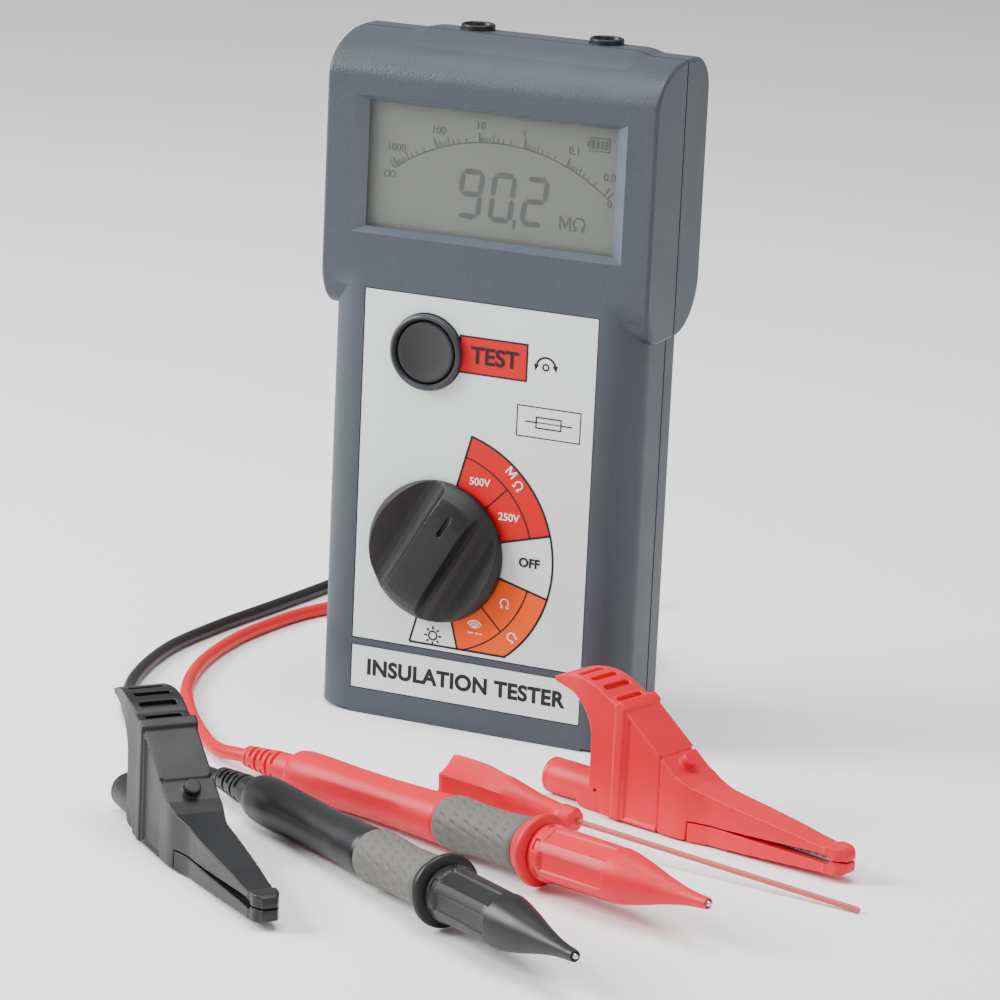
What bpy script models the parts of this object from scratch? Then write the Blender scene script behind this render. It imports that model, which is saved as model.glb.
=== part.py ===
"""Hand-held insulation resistance tester with its two test leads, clips and long-reach prod.

Metres, +Z up. The origin is on the surface the tester stands on, under the front of its base.
The dial faces -Y and +X is to the right of somebody who reads it.
"""

import math

import bmesh
import bpy
from mathutils import Matrix, Vector

# ---------------------------------------------------------------- driving dimensions
GAP = 0.0003  # clearance between neighbouring pieces

HEAD_HALF_WIDTH = 0.0490
HEAD_BOTTOM = 0.1155
HEAD_TOP = 0.1920
BODY_HALF_WIDTH = 0.0468
FRONT_Y = -0.0170
HEAD_REAR_Y = 0.0200
BODY_REAR_Y = 0.0115
PARTING_Y = 0.0030
WALL = 0.0024
BASE_STEP = 0.00065
FLAT_HALF_WIDTH = 0.0360  # the flat middle of the lower body's front

WINDOW_HALF = 0.0394
WINDOW_Z = (0.1383, 0.1753)
LCD_HALF = 0.0355
LABEL_HALF = 0.0349
LABEL_Z = (0.0222, 0.1223)
PLATE_Z = (0.0076, 0.0198)

BUTTON_AT = (-0.0156, 0.1067)  # x, z
BEZEL_RADIUS = 0.0107
BUTTON_RADIUS = 0.0087
KNOB_AT = (-0.0100, 0.0509)
KNOB_RADIUS = 0.0203
KNOB_ANGLE = math.radians(60)
SHAFT_RADIUS = 0.0030

SOCKET_X = {"left": -0.0160, "right": 0.0225}
SOCKET_Y = 0.0090
SCREW_X = 0.0424
SCREW_Z = 0.1780

CELL_COUNT = 5
CELL_PITCH = 0.0154
CELL_RADIUS = 0.0071
CELL_Z = (0.0126, 0.0628)
COVER_HALF = 0.0370
COVER_Z = (0.0080, 0.0690)

LEAD_RADIUS = 0.0019
COIL_OUTER = 0.0288
COIL_INNER = 0.0125
COIL_HEIGHT = 0.0078
COIL_TURN = 0.0269  # radius of the outermost turn
PLUG_AXIS = 0.0058
PROBE_SLOPE = math.atan(0.0413)
PIVOT = (0.0220, 0.0034)  # x, z of the clip's hinge pin in the clip's own frame
EAR_Y = 0.0032  # how far each of the lever's hinge ears stands from the middle
SKIRT_FRONT = 0.0509  # where the lever's side skirts end and the lower jaw widens

# Where each lead's pieces lie: start x, start y, turn about Z.
PROBE_LAY = {"red": (-0.0330, -0.0832, -22.0), "black": (-0.0305, -0.1034, -33.6)}
CLIP_LAY = {"red": (0.0433, -0.0531, -16.5), "black": (-0.0470, -0.1253, -41.0)}
PROD_LAY = (0.0265, -0.0827, -9.0)
# Each coil's centre, and the angle round it where the plug's end leaves, winding clockwise.
COIL_AT = {"red": (-0.0090, 0.0600), "black": (-0.0670, 0.1240)}
PLUG_LEAVES = {"red": math.radians(250), "black": math.radians(60)}
PLUG_RUN = 0.0172  # straight lead between the coil and the plug
LEAD_ROUTE = {
    "red": [
        (-0.0385, -0.0809, 0.0043), (-0.0445, -0.0774, 0.0032), (-0.0520, -0.0700, 0.0022),
        (-0.0615, -0.0585, 0.0020), (-0.0705, -0.0462, 0.0020), (-0.0813, -0.0276, 0.0020),
        (-0.0892, -0.0040, 0.0020), (-0.0922, 0.0217, 0.0020), (-0.0906, 0.0440, 0.0020),
        (-0.0870, 0.0610, 0.0020), (-0.0800, 0.0750, 0.0020), (-0.0700, 0.0842, 0.0020),
        (-0.0585, 0.0892, 0.0020), (-0.0460, 0.0912, 0.0020), (-0.0330, 0.0911, 0.0020),
        (-0.0197, 0.0892, 0.0020),
    ],
    "black": [
        (-0.0357, -0.1000, 0.0043), (-0.0440, -0.0943, 0.0031), (-0.0550, -0.0855, 0.0021),
        (-0.0665, -0.0755, 0.0020), (-0.0765, -0.0660, 0.0020), (-0.0850, -0.0555, 0.0020),
        (-0.0935, -0.0400, 0.0020), (-0.1005, -0.0200, 0.0020), (-0.1045, 0.0057, 0.0020),
        (-0.1030, 0.0324, 0.0020), (-0.0990, 0.0600, 0.0020), (-0.0962, 0.0800, 0.0020),
        (-0.0945, 0.0950, 0.0020), (-0.0939, 0.1084, 0.0020),
    ],
}

# ---------------------------------------------------------------- scene and helpers
for old in list(bpy.data.objects):
    bpy.data.objects.remove(old, do_unlink=True)

parts = bpy.data.collections.new("insulation_tester")
cutters = bpy.data.collections.new("cutters")
bpy.context.scene.collection.children.link(parts)
bpy.context.scene.collection.children.link(cutters)

ALONG_X = Matrix(((0, 0, 1, 0), (1, 0, 0, 0), (0, 1, 0, 0), (0, 0, 0, 1)))  # local z to world x
ALONG_Y = Matrix(((1, 0, 0, 0), (0, 0, 1, 0), (0, -1, 0, 0), (0, 0, 0, 1)))  # local z to world y
TOWARDS_FRONT = Matrix(((1, 0, 0, 0), (0, 0, -1, 0), (0, 1, 0, 0), (0, 0, 0, 1)))
IDENTITY = Matrix.Identity(4)


def material(name, color, roughness, metallic=0.0):
    """A Principled material with one colour."""
    made = bpy.data.materials.new(name)
    made.use_nodes = True
    shader = made.node_tree.nodes["Principled BSDF"]
    shader.inputs["Base Color"].default_value = (*color, 1.0)
    shader.inputs["Roughness"].default_value = roughness
    shader.inputs["Metallic"].default_value = metallic
    return made


CASE_GREY = material("case_grey", (0.15, 0.18, 0.21), 0.55)
SEAL_BLACK = material("seal_black", (0.02, 0.02, 0.02), 0.8)
CLEAR = material("clear_window", (0.8, 0.85, 0.85), 0.05)
LCD = material("lcd_glass", (0.27, 0.28, 0.24), 0.3)
LABEL = material("label_grey", (0.62, 0.65, 0.65), 0.4)
BLACK = material("black_plastic", (0.025, 0.025, 0.028), 0.45)
RED = material("red_plastic", (0.80, 0.06, 0.08), 0.4)
GRIP = material("grip_grey", (0.23, 0.23, 0.21), 0.8)
STEEL = material("steel", (0.55, 0.55, 0.55), 0.3, 1.0)
BRASS = material("brass", (0.75, 0.6, 0.3), 0.3, 1.0)
BOARD = material("board_green", (0.02, 0.16, 0.07), 0.5)
COPPER = material("copper", (0.7, 0.35, 0.2), 0.4, 1.0)
CELL = material("cell_sleeve", (0.55, 0.42, 0.1), 0.35)
CERAMIC = material("ceramic", (0.75, 0.73, 0.68), 0.4)
PLASTIC = {"red": RED, "black": BLACK}


def mesh_object(name, mesh, mat=None, place=IDENTITY):
    """A mesh object: a sub-part when it has a material, otherwise a cutter."""
    obj = bpy.data.objects.new(name, mesh)
    obj.matrix_world = place
    if mat is None:
        cutters.objects.link(obj)
        obj.hide_render = True
        obj.display_type = "WIRE"
    else:
        parts.objects.link(obj)
        mesh.materials.append(mat)
    return obj


def from_bmesh(name, bm, mat=None, place=IDENTITY, smooth=False):
    mesh = bpy.data.meshes.new(name)
    bm.to_mesh(mesh)
    bm.free()
    if smooth:
        mesh.shade_smooth()
        mesh.set_sharp_from_angle(angle=math.radians(40))
    return mesh_object(name, mesh, mat, place)


def box(name, low, high, mat=None, place=IDENTITY, top_inset=(0.0, 0.0)):
    """A box between two corners; its top face can be smaller, as on a frustum."""
    bm = bmesh.new()
    bmesh.ops.create_cube(bm, size=1.0)
    low, high = Vector(low), Vector(high)
    for vert in bm.verts:
        upper = vert.co.z > 0
        for axis in range(3):
            vert.co[axis] = (low[axis] + high[axis]) / 2 + vert.co[axis] * (high[axis] - low[axis])
        if upper:
            vert.co.x -= math.copysign(top_inset[0], vert.co.x - (low.x + high.x) / 2)
            vert.co.y -= math.copysign(top_inset[1], vert.co.y - (low.y + high.y) / 2)
    return from_bmesh(name, bm, mat, place)


def rod(name, start, end, radius, mat=None, place=IDENTITY, segments=24):
    """A cylinder between two points."""
    start, end = Vector(start), Vector(end)
    turn = Vector((0, 0, 1)).rotation_difference(end - start).to_matrix().to_4x4()
    bm = bmesh.new()
    bmesh.ops.create_cone(bm, cap_ends=True, segments=segments, radius1=radius, radius2=radius,
                          depth=(end - start).length,
                          matrix=Matrix.Translation((start + end) / 2) @ turn)
    return from_bmesh(name, bm, mat, place, smooth=True)


def turned(name, profile, mat=None, place=IDENTITY, segments=32, ring=False):
    """A shape turned about local z from (radius, height) points, given from top to bottom.

    A ring's profile goes down its outside and back up its inside, and closes.
    """
    mesh = bpy.data.meshes.new(name)
    edges = [(i, i + 1) for i in range(len(profile) - 1)]
    if ring:
        edges.append((len(profile) - 1, 0))
    mesh.from_pydata([(r, 0.0, h) for r, h in profile], edges, [])
    obj = mesh_object(name, mesh, mat, place)
    screw = obj.modifiers.new("turn", "SCREW")
    screw.steps = screw.render_steps = segments
    screw.use_merge_vertices = True
    screw.merge_threshold = 0.00001
    screw.use_smooth_shade = False
    return obj


def extrusion(name, outlines, half, mat=None, place=IDENTITY):
    """Flat outlines, the first with the others as holes, made `half` thick each way along local z."""
    curve = bpy.data.curves.new(name, "CURVE")
    curve.dimensions = "2D"
    curve.fill_mode = "BOTH"
    curve.extrude = half
    for outline in outlines:
        spline = curve.splines.new("POLY")
        spline.points.add(len(outline) - 1)
        for point, (u, v) in zip(spline.points, outline, strict=True):
            point.co = (u, v, 0.0, 1.0)
        spline.use_cyclic_u = True
    guide = bpy.data.objects.new(name + "_outline", curve)
    cutters.objects.link(guide)
    mesh = bpy.data.meshes.new_from_object(guide.evaluated_get(bpy.context.evaluated_depsgraph_get()))
    bpy.data.objects.remove(guide)
    bpy.data.curves.remove(curve)
    bm = bmesh.new()
    bm.from_mesh(mesh)
    bmesh.ops.remove_doubles(bm, verts=bm.verts, dist=0.00001)
    bmesh.ops.recalc_face_normals(bm, faces=bm.faces)
    if len(outlines) == 1:
        bmesh.ops.dissolve_limit(bm, angle_limit=math.radians(0.5), verts=bm.verts, edges=bm.edges)
    bm.to_mesh(mesh)
    bm.free()
    mesh.name = name
    return mesh_object(name, mesh, mat, place)


def boolean(obj, other, operation="DIFFERENCE"):
    cut = obj.modifiers.new(operation.lower(), "BOOLEAN")
    cut.operation = operation
    cut.solver = "EXACT"
    cut.object = other
    return obj


def bevel(obj, width, segments=2, angle=50):
    rounding = obj.modifiers.new("bevel", "BEVEL")
    rounding.width = width
    rounding.segments = segments
    rounding.limit_method = "ANGLE"
    rounding.angle_limit = math.radians(angle)
    return obj


def arc(center, radii, start, end, steps=6):
    """Points on an ellipse's arc, angles in degrees."""
    points = []
    for i in range(steps + 1):
        angle = math.radians(start + (end - start) * i / steps)
        points.append((center[0] + radii[0] * math.cos(angle), center[1] + radii[1] * math.sin(angle)))
    return points


def smooth_path(points, spacing):
    """Points of a smooth curve through the route's points, about `spacing` apart."""
    route = [Vector(p) for p in points]
    route = [2 * route[0] - route[1], *route, 2 * route[-1] - route[-2]]
    path = []
    for a, b, c, d in zip(route, route[1:], route[2:], route[3:]):
        count = max(1, round((c - b).length / spacing))
        for i in range(count):
            t = i / count
            path.append(0.5 * (2 * b + (c - a) * t + (2 * a - 5 * b + 4 * c - d) * t * t
                               + (3 * b - a - 3 * c + d) * t * t * t))
    path.append(route[-2])
    return path


def tube(name, points, radius, mat, place=IDENTITY, resolution=2):
    """A round bar along a path."""
    curve = bpy.data.curves.new(name, "CURVE")
    curve.dimensions = "3D"
    curve.bevel_depth = radius
    curve.bevel_resolution = resolution
    curve.use_fill_caps = True
    spline = curve.splines.new("POLY")
    spline.points.add(len(points) - 1)
    for point, co in zip(spline.points, points, strict=True):
        point.co = (*co, 1.0)
    obj = bpy.data.objects.new(name, curve)
    obj.matrix_world = place
    curve.materials.append(mat)
    parts.objects.link(obj)
    return obj


def lay(x, y, z, turn, tilt=0.0):
    """A place on the ground: local x along the piece, turned about Z and tilted nose up."""
    return Matrix.Translation((x, y, z)) @ Matrix.Rotation(math.radians(turn), 4, "Z") \
        @ Matrix.Rotation(-tilt, 4, "Y")


# ---------------------------------------------------------------- tester case
def head_outline(inset):
    """The head from the side: (y, z) points of a tall D with large round ends."""
    front, rear = FRONT_Y + inset, HEAD_REAR_Y - inset
    low, high = HEAD_BOTTOM + inset, HEAD_TOP - inset
    return (arc((0.004, 0.180), (0.004 - front, high - 0.180), 180, 90, 8)
            + arc((0.010, 0.182), (rear - 0.010, high - 0.182), 90, 0, 6)
            + arc((0.004, 0.131), (rear - 0.004, 0.131 - low), 0, -90, 7)
            + arc((-0.008, 0.128), (-0.008 - front, 0.128 - low), -90, -180, 6))


def body_outline(inset):
    """The lower body from above: (x, y) points with large round front edges."""
    half, front, rear = BODY_HALF_WIDTH - inset, FRONT_Y + inset, BODY_REAR_Y - inset
    flat, side_y, rear_round = FLAT_HALF_WIDTH, -0.0075, max(0.0025 - inset, 0.0003)
    right = (arc((flat, side_y), (half - flat, side_y - front), -90, 0, 7)
             + arc((half - rear_round, rear - rear_round), (rear_round, rear_round), 0, 90, 2))
    return right + [(-x, y) for x, y in reversed(right)]


def case_profile_outline(inset):
    """The case from the front at the parting line: the wide head on the narrower body."""
    head, body = HEAD_HALF_WIDTH - inset, BODY_HALF_WIDTH - inset
    low, neck, high = BASE_STEP + inset, HEAD_BOTTOM + inset, HEAD_TOP - inset
    right = [(body, low), (body, neck), (head, neck), (head, high)]
    return right + [(-x, z) for x, z in reversed(right)]


def case_half(name, y_low, y_high):
    """The outside of the case and its cavity, kept between two depths."""
    half = extrusion(name, [head_outline(0.0)], HEAD_HALF_WIDTH, CASE_GREY, ALONG_X)
    bevel(half, 0.0024, 3, 60)
    body_top = 0.135
    body_half = (body_top - BASE_STEP) / 2
    body = extrusion(name + "_body", [body_outline(0.0)], body_half, None,
                     Matrix.Translation((0, 0, BASE_STEP + body_half)))
    boolean(half, body, "UNION")
    pad = box(name + "_pad", (-FLAT_HALF_WIDTH, FRONT_Y + 0.0001, 0.0),
              (FLAT_HALF_WIDTH, BODY_REAR_Y - 0.0001, 0.0040))
    boolean(half, pad, "UNION")
    plateau = box(name + "_plateau", (-0.026, -0.004, HEAD_TOP - 0.004),
                  (0.033, 0.0135, HEAD_TOP + 0.0010), top_inset=(0.0040, 0.0030))
    boolean(half, plateau, "UNION")
    boolean(half, extrusion(name + "_head_room", [head_outline(WALL)], HEAD_HALF_WIDTH - WALL,
                            None, ALONG_X))
    room_low = BASE_STEP + WALL
    room_half = (0.132 - room_low) / 2
    boolean(half, extrusion(name + "_body_room", [body_outline(WALL)], room_half, None,
                            Matrix.Translation((0, 0, room_low + room_half))))
    boolean(half, box(name + "_keep", (-0.06, y_low, -0.01), (0.06, y_high, 0.21)), "INTERSECT")
    return half


def front_hole(name, at, radius, segments=32):
    return rod(name, (at[0], FRONT_Y - 0.004, at[1]), (at[0], FRONT_Y + 0.006, at[1]), radius,
               segments=segments)


def build_front_case():
    front = case_half("front_case", -0.03, PARTING_Y - GAP / 2)
    window_center = sum(WINDOW_Z) / 2
    window_half = (WINDOW_Z[1] - WINDOW_Z[0]) / 2
    depth = WALL + 0.0012
    inner = (depth - 0.0006) / WALL
    window = box("window_cut", (-WINDOW_HALF - 0.0020, -window_half - 0.0010, -depth / 2),
                 (WINDOW_HALF + 0.0020, window_half + 0.0010, depth / 2), None,
                 Matrix.Translation((0, FRONT_Y - 0.0006 + depth / 2, window_center)) @ ALONG_Y,
                 top_inset=((WINDOW_HALF - LCD_HALF) * inner + 0.0006, 0.0020 * inner))
    boolean(front, window)
    for name, (low, high) in (("label_recess", LABEL_Z), ("plate_recess", PLATE_Z)):
        boolean(front, box(name, (-LABEL_HALF - GAP, FRONT_Y - 0.001, low - GAP),
                           (LABEL_HALF + GAP, FRONT_Y + 0.0008, high + GAP)))
    boolean(front, front_hole("bezel_hole", BUTTON_AT, 0.0101))
    boolean(front, front_hole("shaft_hole", KNOB_AT, SHAFT_RADIUS + 0.0008, 24))
    for side in (-1, 1):
        boss = rod(f"front_boss_{side}", (side * SCREW_X, FRONT_Y + 0.0012, SCREW_Z),
                   (side * SCREW_X, PARTING_Y - GAP / 2, SCREW_Z), 0.0034, segments=20)
        boolean(front, boss, "UNION")
        boolean(front, rod(f"front_boss_bore_{side}", (side * SCREW_X, -0.0075, SCREW_Z),
                           (side * SCREW_X, 0.010, SCREW_Z), 0.0017, segments=16))
    groove = extrusion("seal_groove", [case_profile_outline(0.0012), case_profile_outline(0.0030)],
                       0.0010, None, Matrix.Translation((0, 0.0026, 0)) @ TOWARDS_FRONT)
    boolean(front, groove)
    return front


def build_rear_case():
    rear = case_half("rear_case", PARTING_Y + GAP / 2, 0.03)
    for side, x in SOCKET_X.items():
        boolean(rear, rod(f"socket_hole_{side}", (x, SOCKET_Y, 0.186), (x, SOCKET_Y, 0.200),
                          0.00505, segments=24))
    for side in (-1, 1):
        x = side * SCREW_X
        boolean(rear, rod(f"rear_boss_{side}", (x, PARTING_Y + GAP / 2, SCREW_Z),
                          (x, HEAD_REAR_Y - 0.0012, SCREW_Z), 0.0034, segments=20), "UNION")
        boolean(rear, rod(f"rear_boss_bore_{side}", (x, -0.001, SCREW_Z), (x, 0.022, SCREW_Z),
                          0.0017, segments=16))
        boolean(rear, rod(f"rear_boss_recess_{side}", (x, 0.0166, SCREW_Z), (x, 0.022, SCREW_Z),
                          0.0030, segments=20))
    boolean(rear, box("cover_opening", (-COVER_HALF - GAP, BODY_REAR_Y - 0.004, COVER_Z[0] - GAP),
                      (COVER_HALF + GAP, BODY_REAR_Y + 0.002, COVER_Z[1] + GAP)))
    tab = box("cover_tab", (-0.006, 0.0066, COVER_Z[1] - 0.0052), (0.006, 0.0091, COVER_Z[1] + 0.0040))
    boolean(rear, tab, "UNION")
    lip = box("cover_tab_root", (-0.006, 0.0070, COVER_Z[1] + 0.0010), (0.006, 0.0100, COVER_Z[1] + 0.0036))
    boolean(rear, lip, "UNION")
    boolean(rear, rod("cover_tab_hole", (0, 0.004, COVER_Z[1] - 0.0030), (0, 0.012, COVER_Z[1] - 0.0030),
                      0.0014, segments=16))
    return rear


def build_seal():
    extrusion("case_seal", [case_profile_outline(0.0015), case_profile_outline(0.0023)], 0.00045,
              SEAL_BLACK, Matrix.Translation((0, 0.00235, 0)) @ TOWARDS_FRONT)


# ---------------------------------------------------------------- front panel pieces
def build_display():
    box("display_window", (-0.0386, -0.0143, 0.1370), (0.0386, -0.0127, 0.1766), CLEAR)
    bevel(box("lcd_module", (-0.0382, -0.0123, 0.1376), (0.0382, -0.0089, 0.1760), LCD), 0.0003, 1)


def build_labels():
    label = box("front_label", (-LABEL_HALF, FRONT_Y + 0.0001, LABEL_Z[0]),
                (LABEL_HALF, FRONT_Y + 0.0005, LABEL_Z[1]), LABEL)
    boolean(label, front_hole("label_bezel_hole", BUTTON_AT, BEZEL_RADIUS + GAP, 40))
    boolean(label, front_hole("label_shaft_hole", KNOB_AT, SHAFT_RADIUS + 0.0012, 24))
    box("name_plate", (-LABEL_HALF, FRONT_Y + 0.0001, PLATE_Z[0]),
        (LABEL_HALF, FRONT_Y + 0.0005, PLATE_Z[1]), LABEL)


def panel_place(at):
    """A turned piece's place on the front panel: local z points out of the panel, from its face."""
    return Matrix.Translation((at[0], FRONT_Y, at[1])) @ TOWARDS_FRONT


def build_button():
    place = panel_place(BUTTON_AT)
    turned("button_bezel", [
        (BEZEL_RADIUS - 0.0008, 0.0019), (BEZEL_RADIUS, 0.0012), (BEZEL_RADIUS, -0.0005),
        (0.0098, -0.0005), (0.0098, -0.0048), (0.0090, -0.0048), (0.0090, 0.0014),
    ], CASE_GREY, place, 40, ring=True)
    turned("test_button", [
        (0.0, 0.0004), (0.0040, 0.0006), (0.0070, 0.0011), (0.0083, 0.0013), (BUTTON_RADIUS, 0.0009),
        (BUTTON_RADIUS, -0.0025), (0.0, -0.0025),
    ], BLACK, place, 36)
    turned("button_stem", [(0.0, -0.0028), (0.0045, -0.0028), (0.0045, -0.0038), (0.0030, -0.0038),
                           (0.0030, -0.0050), (0.0, -0.0050)], BLACK, place, 20)
    turns, per_turn = 4, 8
    coil = [Vector((0.0064 * math.cos(2 * math.pi * i / per_turn),
                    0.0064 * math.sin(2 * math.pi * i / per_turn),
                    -0.0032 - 0.0045 * i / (turns * per_turn)))
            for i in range(turns * per_turn + 1)]
    tube("button_spring", coil, 0.00035, STEEL, place, resolution=1)


def build_knob():
    place = panel_place(KNOB_AT) @ Matrix.Rotation(KNOB_ANGLE, 4, "Z")
    knob = turned("range_knob", [
        (0.0, 0.0040), (0.0150, 0.0040), (0.0190, 0.0032), (KNOB_RADIUS - 0.0003, 0.0024),
        (KNOB_RADIUS, 0.0016), (KNOB_RADIUS, 0.0003), (0.0, 0.0003),
    ], BLACK, place, 48)
    bar = box("knob_bar", (-0.0185, -0.0056, 0.0030), (0.0185, 0.0056, 0.0086), None, place,
              top_inset=(0.0022, 0.0014))
    bevel(bar, 0.0008, 2)
    boolean(knob, bar, "UNION")
    boolean(knob, rod("knob_bore", (0, 0, -0.002), (0, 0, 0.0034), SHAFT_RADIUS + GAP, None, place, 20))
    boolean(knob, box("knob_slit", (0.0085, -0.0004, 0.0080), (0.0145, 0.0004, 0.0100), None, place))
    turned("range_shaft", [
        (0.0, 0.0030), (SHAFT_RADIUS, 0.0030), (SHAFT_RADIUS, -0.0028), (0.0060, -0.0028),
        (0.0060, -0.0038), (0.0, -0.0038),
    ], STEEL, panel_place(KNOB_AT), 24)


# ---------------------------------------------------------------- inside the tester
def build_electronics():
    board = box("main_pcb", (-0.0370, -0.0086, 0.0080), (0.0370, -0.0070, 0.1840), BOARD)
    wafer = rod("switch_wafer", (KNOB_AT[0], -0.0124, KNOB_AT[1]), (KNOB_AT[0], -0.0080, KNOB_AT[1]),
                0.0120, segments=32)
    boolean(board, wafer, "UNION")
    x, z = BUTTON_AT
    boolean(board, box("touch_switch", (x - 0.004, -0.0098, z - 0.004), (x + 0.004, -0.0080, z + 0.004)),
            "UNION")
    for side in (-1, 1):
        boolean(board, box(f"fuse_post_{side}", (side * 0.012 - 0.002, -0.0076, 0.1250),
                           (side * 0.012 + 0.002, -0.0055, 0.1310)), "UNION")
    rod("fuse", (-0.016, -0.0020, 0.1280), (0.016, -0.0020, 0.1280), 0.00315, CERAMIC, segments=20)
    turned("buzzer", [(0.0, 0.0050), (0.0015, 0.0050), (0.0015, 0.0042), (0.0062, 0.0042),
                      (0.0070, 0.0036), (0.0070, 0.0), (0.0, 0.0)], BLACK,
           Matrix.Translation((0.0230, -0.0067, 0.1550)) @ ALONG_Y, 28)
    core = box("transformer", (-0.0310, -0.0067, 0.1460), (-0.0090, 0.0073, 0.1640), COPPER)
    boolean(core, box("transformer_yoke", (-0.0240, -0.0060, 0.1440), (-0.0160, 0.0086, 0.1660)), "UNION")


def build_battery():
    for i in range(CELL_COUNT):
        x = (i - (CELL_COUNT - 1) / 2) * CELL_PITCH
        low, high = CELL_Z
        turned(f"battery_cell_{i + 1}", [
            (0.0, high), (0.0026, high), (0.0026, high - 0.0014), (CELL_RADIUS - 0.0004, high - 0.0014),
            (CELL_RADIUS, high - 0.0020), (CELL_RADIUS, low + 0.0006), (CELL_RADIUS - 0.0006, low),
            (0.0, low),
        ], CELL, Matrix.Translation((x, 0.0012, 0)), 24)
    cover = box("battery_cover", (-COVER_HALF, BODY_REAR_Y - 0.0021, COVER_Z[0]),
                (COVER_HALF, BODY_REAR_Y, COVER_Z[1]), CASE_GREY)
    z = COVER_Z[1] - 0.0030
    boolean(cover, rod("cover_bore", (0, 0.0080, z), (0, 0.0130, z), 0.0014, segments=16))
    boolean(cover, rod("cover_recess", (0, 0.0104, z), (0, 0.0130, z), 0.0026, segments=20))
    turned("cover_screw", [(0.0, 0.0), (0.0019, 0.0), (0.0023, -0.0003), (0.0023, -0.0007),
                           (0.0011, -0.0007), (0.0011, -0.0060), (0.0, -0.0065)], STEEL,
           Matrix.Translation((0, BODY_REAR_Y - 0.0001, z)) @ ALONG_Y, 20)


def build_case_screws():
    for number, side in ((1, -1), (2, 1)):
        turned(f"case_screw_{number}", [
            (0.0, 0.0), (0.0020, 0.0), (0.0026, -0.0006), (0.0026, -0.0018), (0.0013, -0.0018),
            (0.0013, -0.0240), (0.0, -0.0250),
        ], STEEL, Matrix.Translation((side * SCREW_X, 0.0188, SCREW_Z)) @ ALONG_Y, 20)


def build_sockets():
    for side, x in SOCKET_X.items():
        place = Matrix.Translation((x, SOCKET_Y, 0))
        turned(f"socket_collar_{side}", [
            (0.0044, 0.1946), (0.00475, 0.1943), (0.00475, 0.1870), (0.0062, 0.1870), (0.0062, 0.1845),
            (0.00475, 0.1845), (0.00475, 0.1760), (0.0039, 0.1760), (0.0039, 0.1946),
        ], BLACK, place, 28, ring=True)
        turned(f"socket_contact_{side}", [
            (0.0029, 0.1885), (0.0029, 0.1780), (0.0036, 0.1780), (0.0036, 0.1762), (0.00205, 0.1762),
            (0.00205, 0.1885),
        ], BRASS, place, 20, ring=True)


# ---------------------------------------------------------------- probes and leads
def build_probe(color):
    x, y, turn = PROBE_LAY[color]
    place = lay(x, y, 0.0051, turn, PROBE_SLOPE) @ ALONG_X
    plastic = PLASTIC[color]
    turned(f"lead_{color}_relief", [
        (0.0, 0.0185), (0.0040, 0.0185), (0.0042, 0.0120), (0.0033, 0.0004), (0.0029, 0.0), (0.0, 0.0),
    ], plastic, place, 24)
    turned(f"probe_{color}_handle", [
        (0.0, 0.1278), (0.0016, 0.1278), (0.0020, 0.1268), (0.0020, 0.1140), (0.0075, 0.1140),
        (0.0090, 0.1134), (0.0095, 0.1122), (0.0090, 0.1108), (0.0060, 0.1086), (0.0056, 0.1086),
        (0.0056, 0.0784), (0.0064, 0.0784), (0.0062, 0.0600), (0.0058, 0.0260), (0.0052, 0.0210),
        (0.0040, 0.0188), (0.0, 0.0188),
    ], plastic, place, 32)
    turned(f"probe_{color}_grip", [
        (0.0064, 0.1078), (0.0071, 0.1060), (0.0069, 0.0970), (0.0067, 0.0900), (0.0070, 0.0810),
        (0.0066, 0.0788), (0.0059, 0.0788), (0.0059, 0.1078),
    ], GRIP, place, 32, ring=True)
    turned(f"probe_{color}_nose", [
        (0.0020, 0.1695), (0.0026, 0.1640), (0.0048, 0.1540), (0.0066, 0.1460), (0.0074, 0.1400),
        (0.0073, 0.1144), (0.0024, 0.1144), (0.0024, 0.1400), (0.0014, 0.1430), (0.0014, 0.1695),
    ], plastic, place, 28, ring=True)
    turned(f"probe_{color}_tip", [
        (0.0, 0.1715), (0.0007, 0.1709), (0.0011, 0.1699), (0.0011, 0.1432), (0.0018, 0.1384),
        (0.0018, 0.1310), (0.0, 0.1310),
    ], STEEL, place, 16)


def build_lead(color):
    x, y, turn = PROBE_LAY[color]
    behind = lay(x, y, 0.0051, turn, PROBE_SLOPE) @ Vector((-GAP, 0, 0))
    plastic = PLASTIC[color]
    tube(f"lead_{color}", smooth_path([behind, *LEAD_ROUTE[color]], 0.0075), LEAD_RADIUS, plastic)
    coil_x, coil_y = COIL_AT[color]
    coil_place = Matrix.Translation((coil_x, coil_y, 0.0001))
    edge = 0.0012
    turned(f"lead_{color}_coil", [
        (COIL_OUTER - edge, COIL_HEIGHT), (COIL_OUTER, COIL_HEIGHT - edge), (COIL_OUTER, edge),
        (COIL_OUTER - edge, 0.0), (COIL_INNER, 0.0), (COIL_INNER, COIL_HEIGHT),
    ], plastic, coil_place, 40, ring=True)
    leaves = PLUG_LEAVES[color]
    plug_x = coil_x + COIL_TURN * math.cos(leaves) + PLUG_RUN * math.sin(leaves)
    plug_y = coil_y + COIL_TURN * math.sin(leaves) - PLUG_RUN * math.cos(leaves)
    turned(f"lead_{color}_plug", [
        (0.0, 0.0325), (0.0013, 0.0325), (0.0019, 0.0315), (0.0019, 0.0140), (0.0034, 0.0140),
        (0.0034, 0.0340), (0.0041, 0.0340), (0.0043, 0.0335), (0.0043, 0.0170), (0.0055, 0.0150),
        (0.0055, 0.0080), (0.0040, 0.0060), (0.0028, 0.0), (0.0, 0.0),
    ], plastic, lay(plug_x, plug_y, PLUG_AXIS, math.degrees(leaves) - 90) @ ALONG_X, 24)


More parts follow.
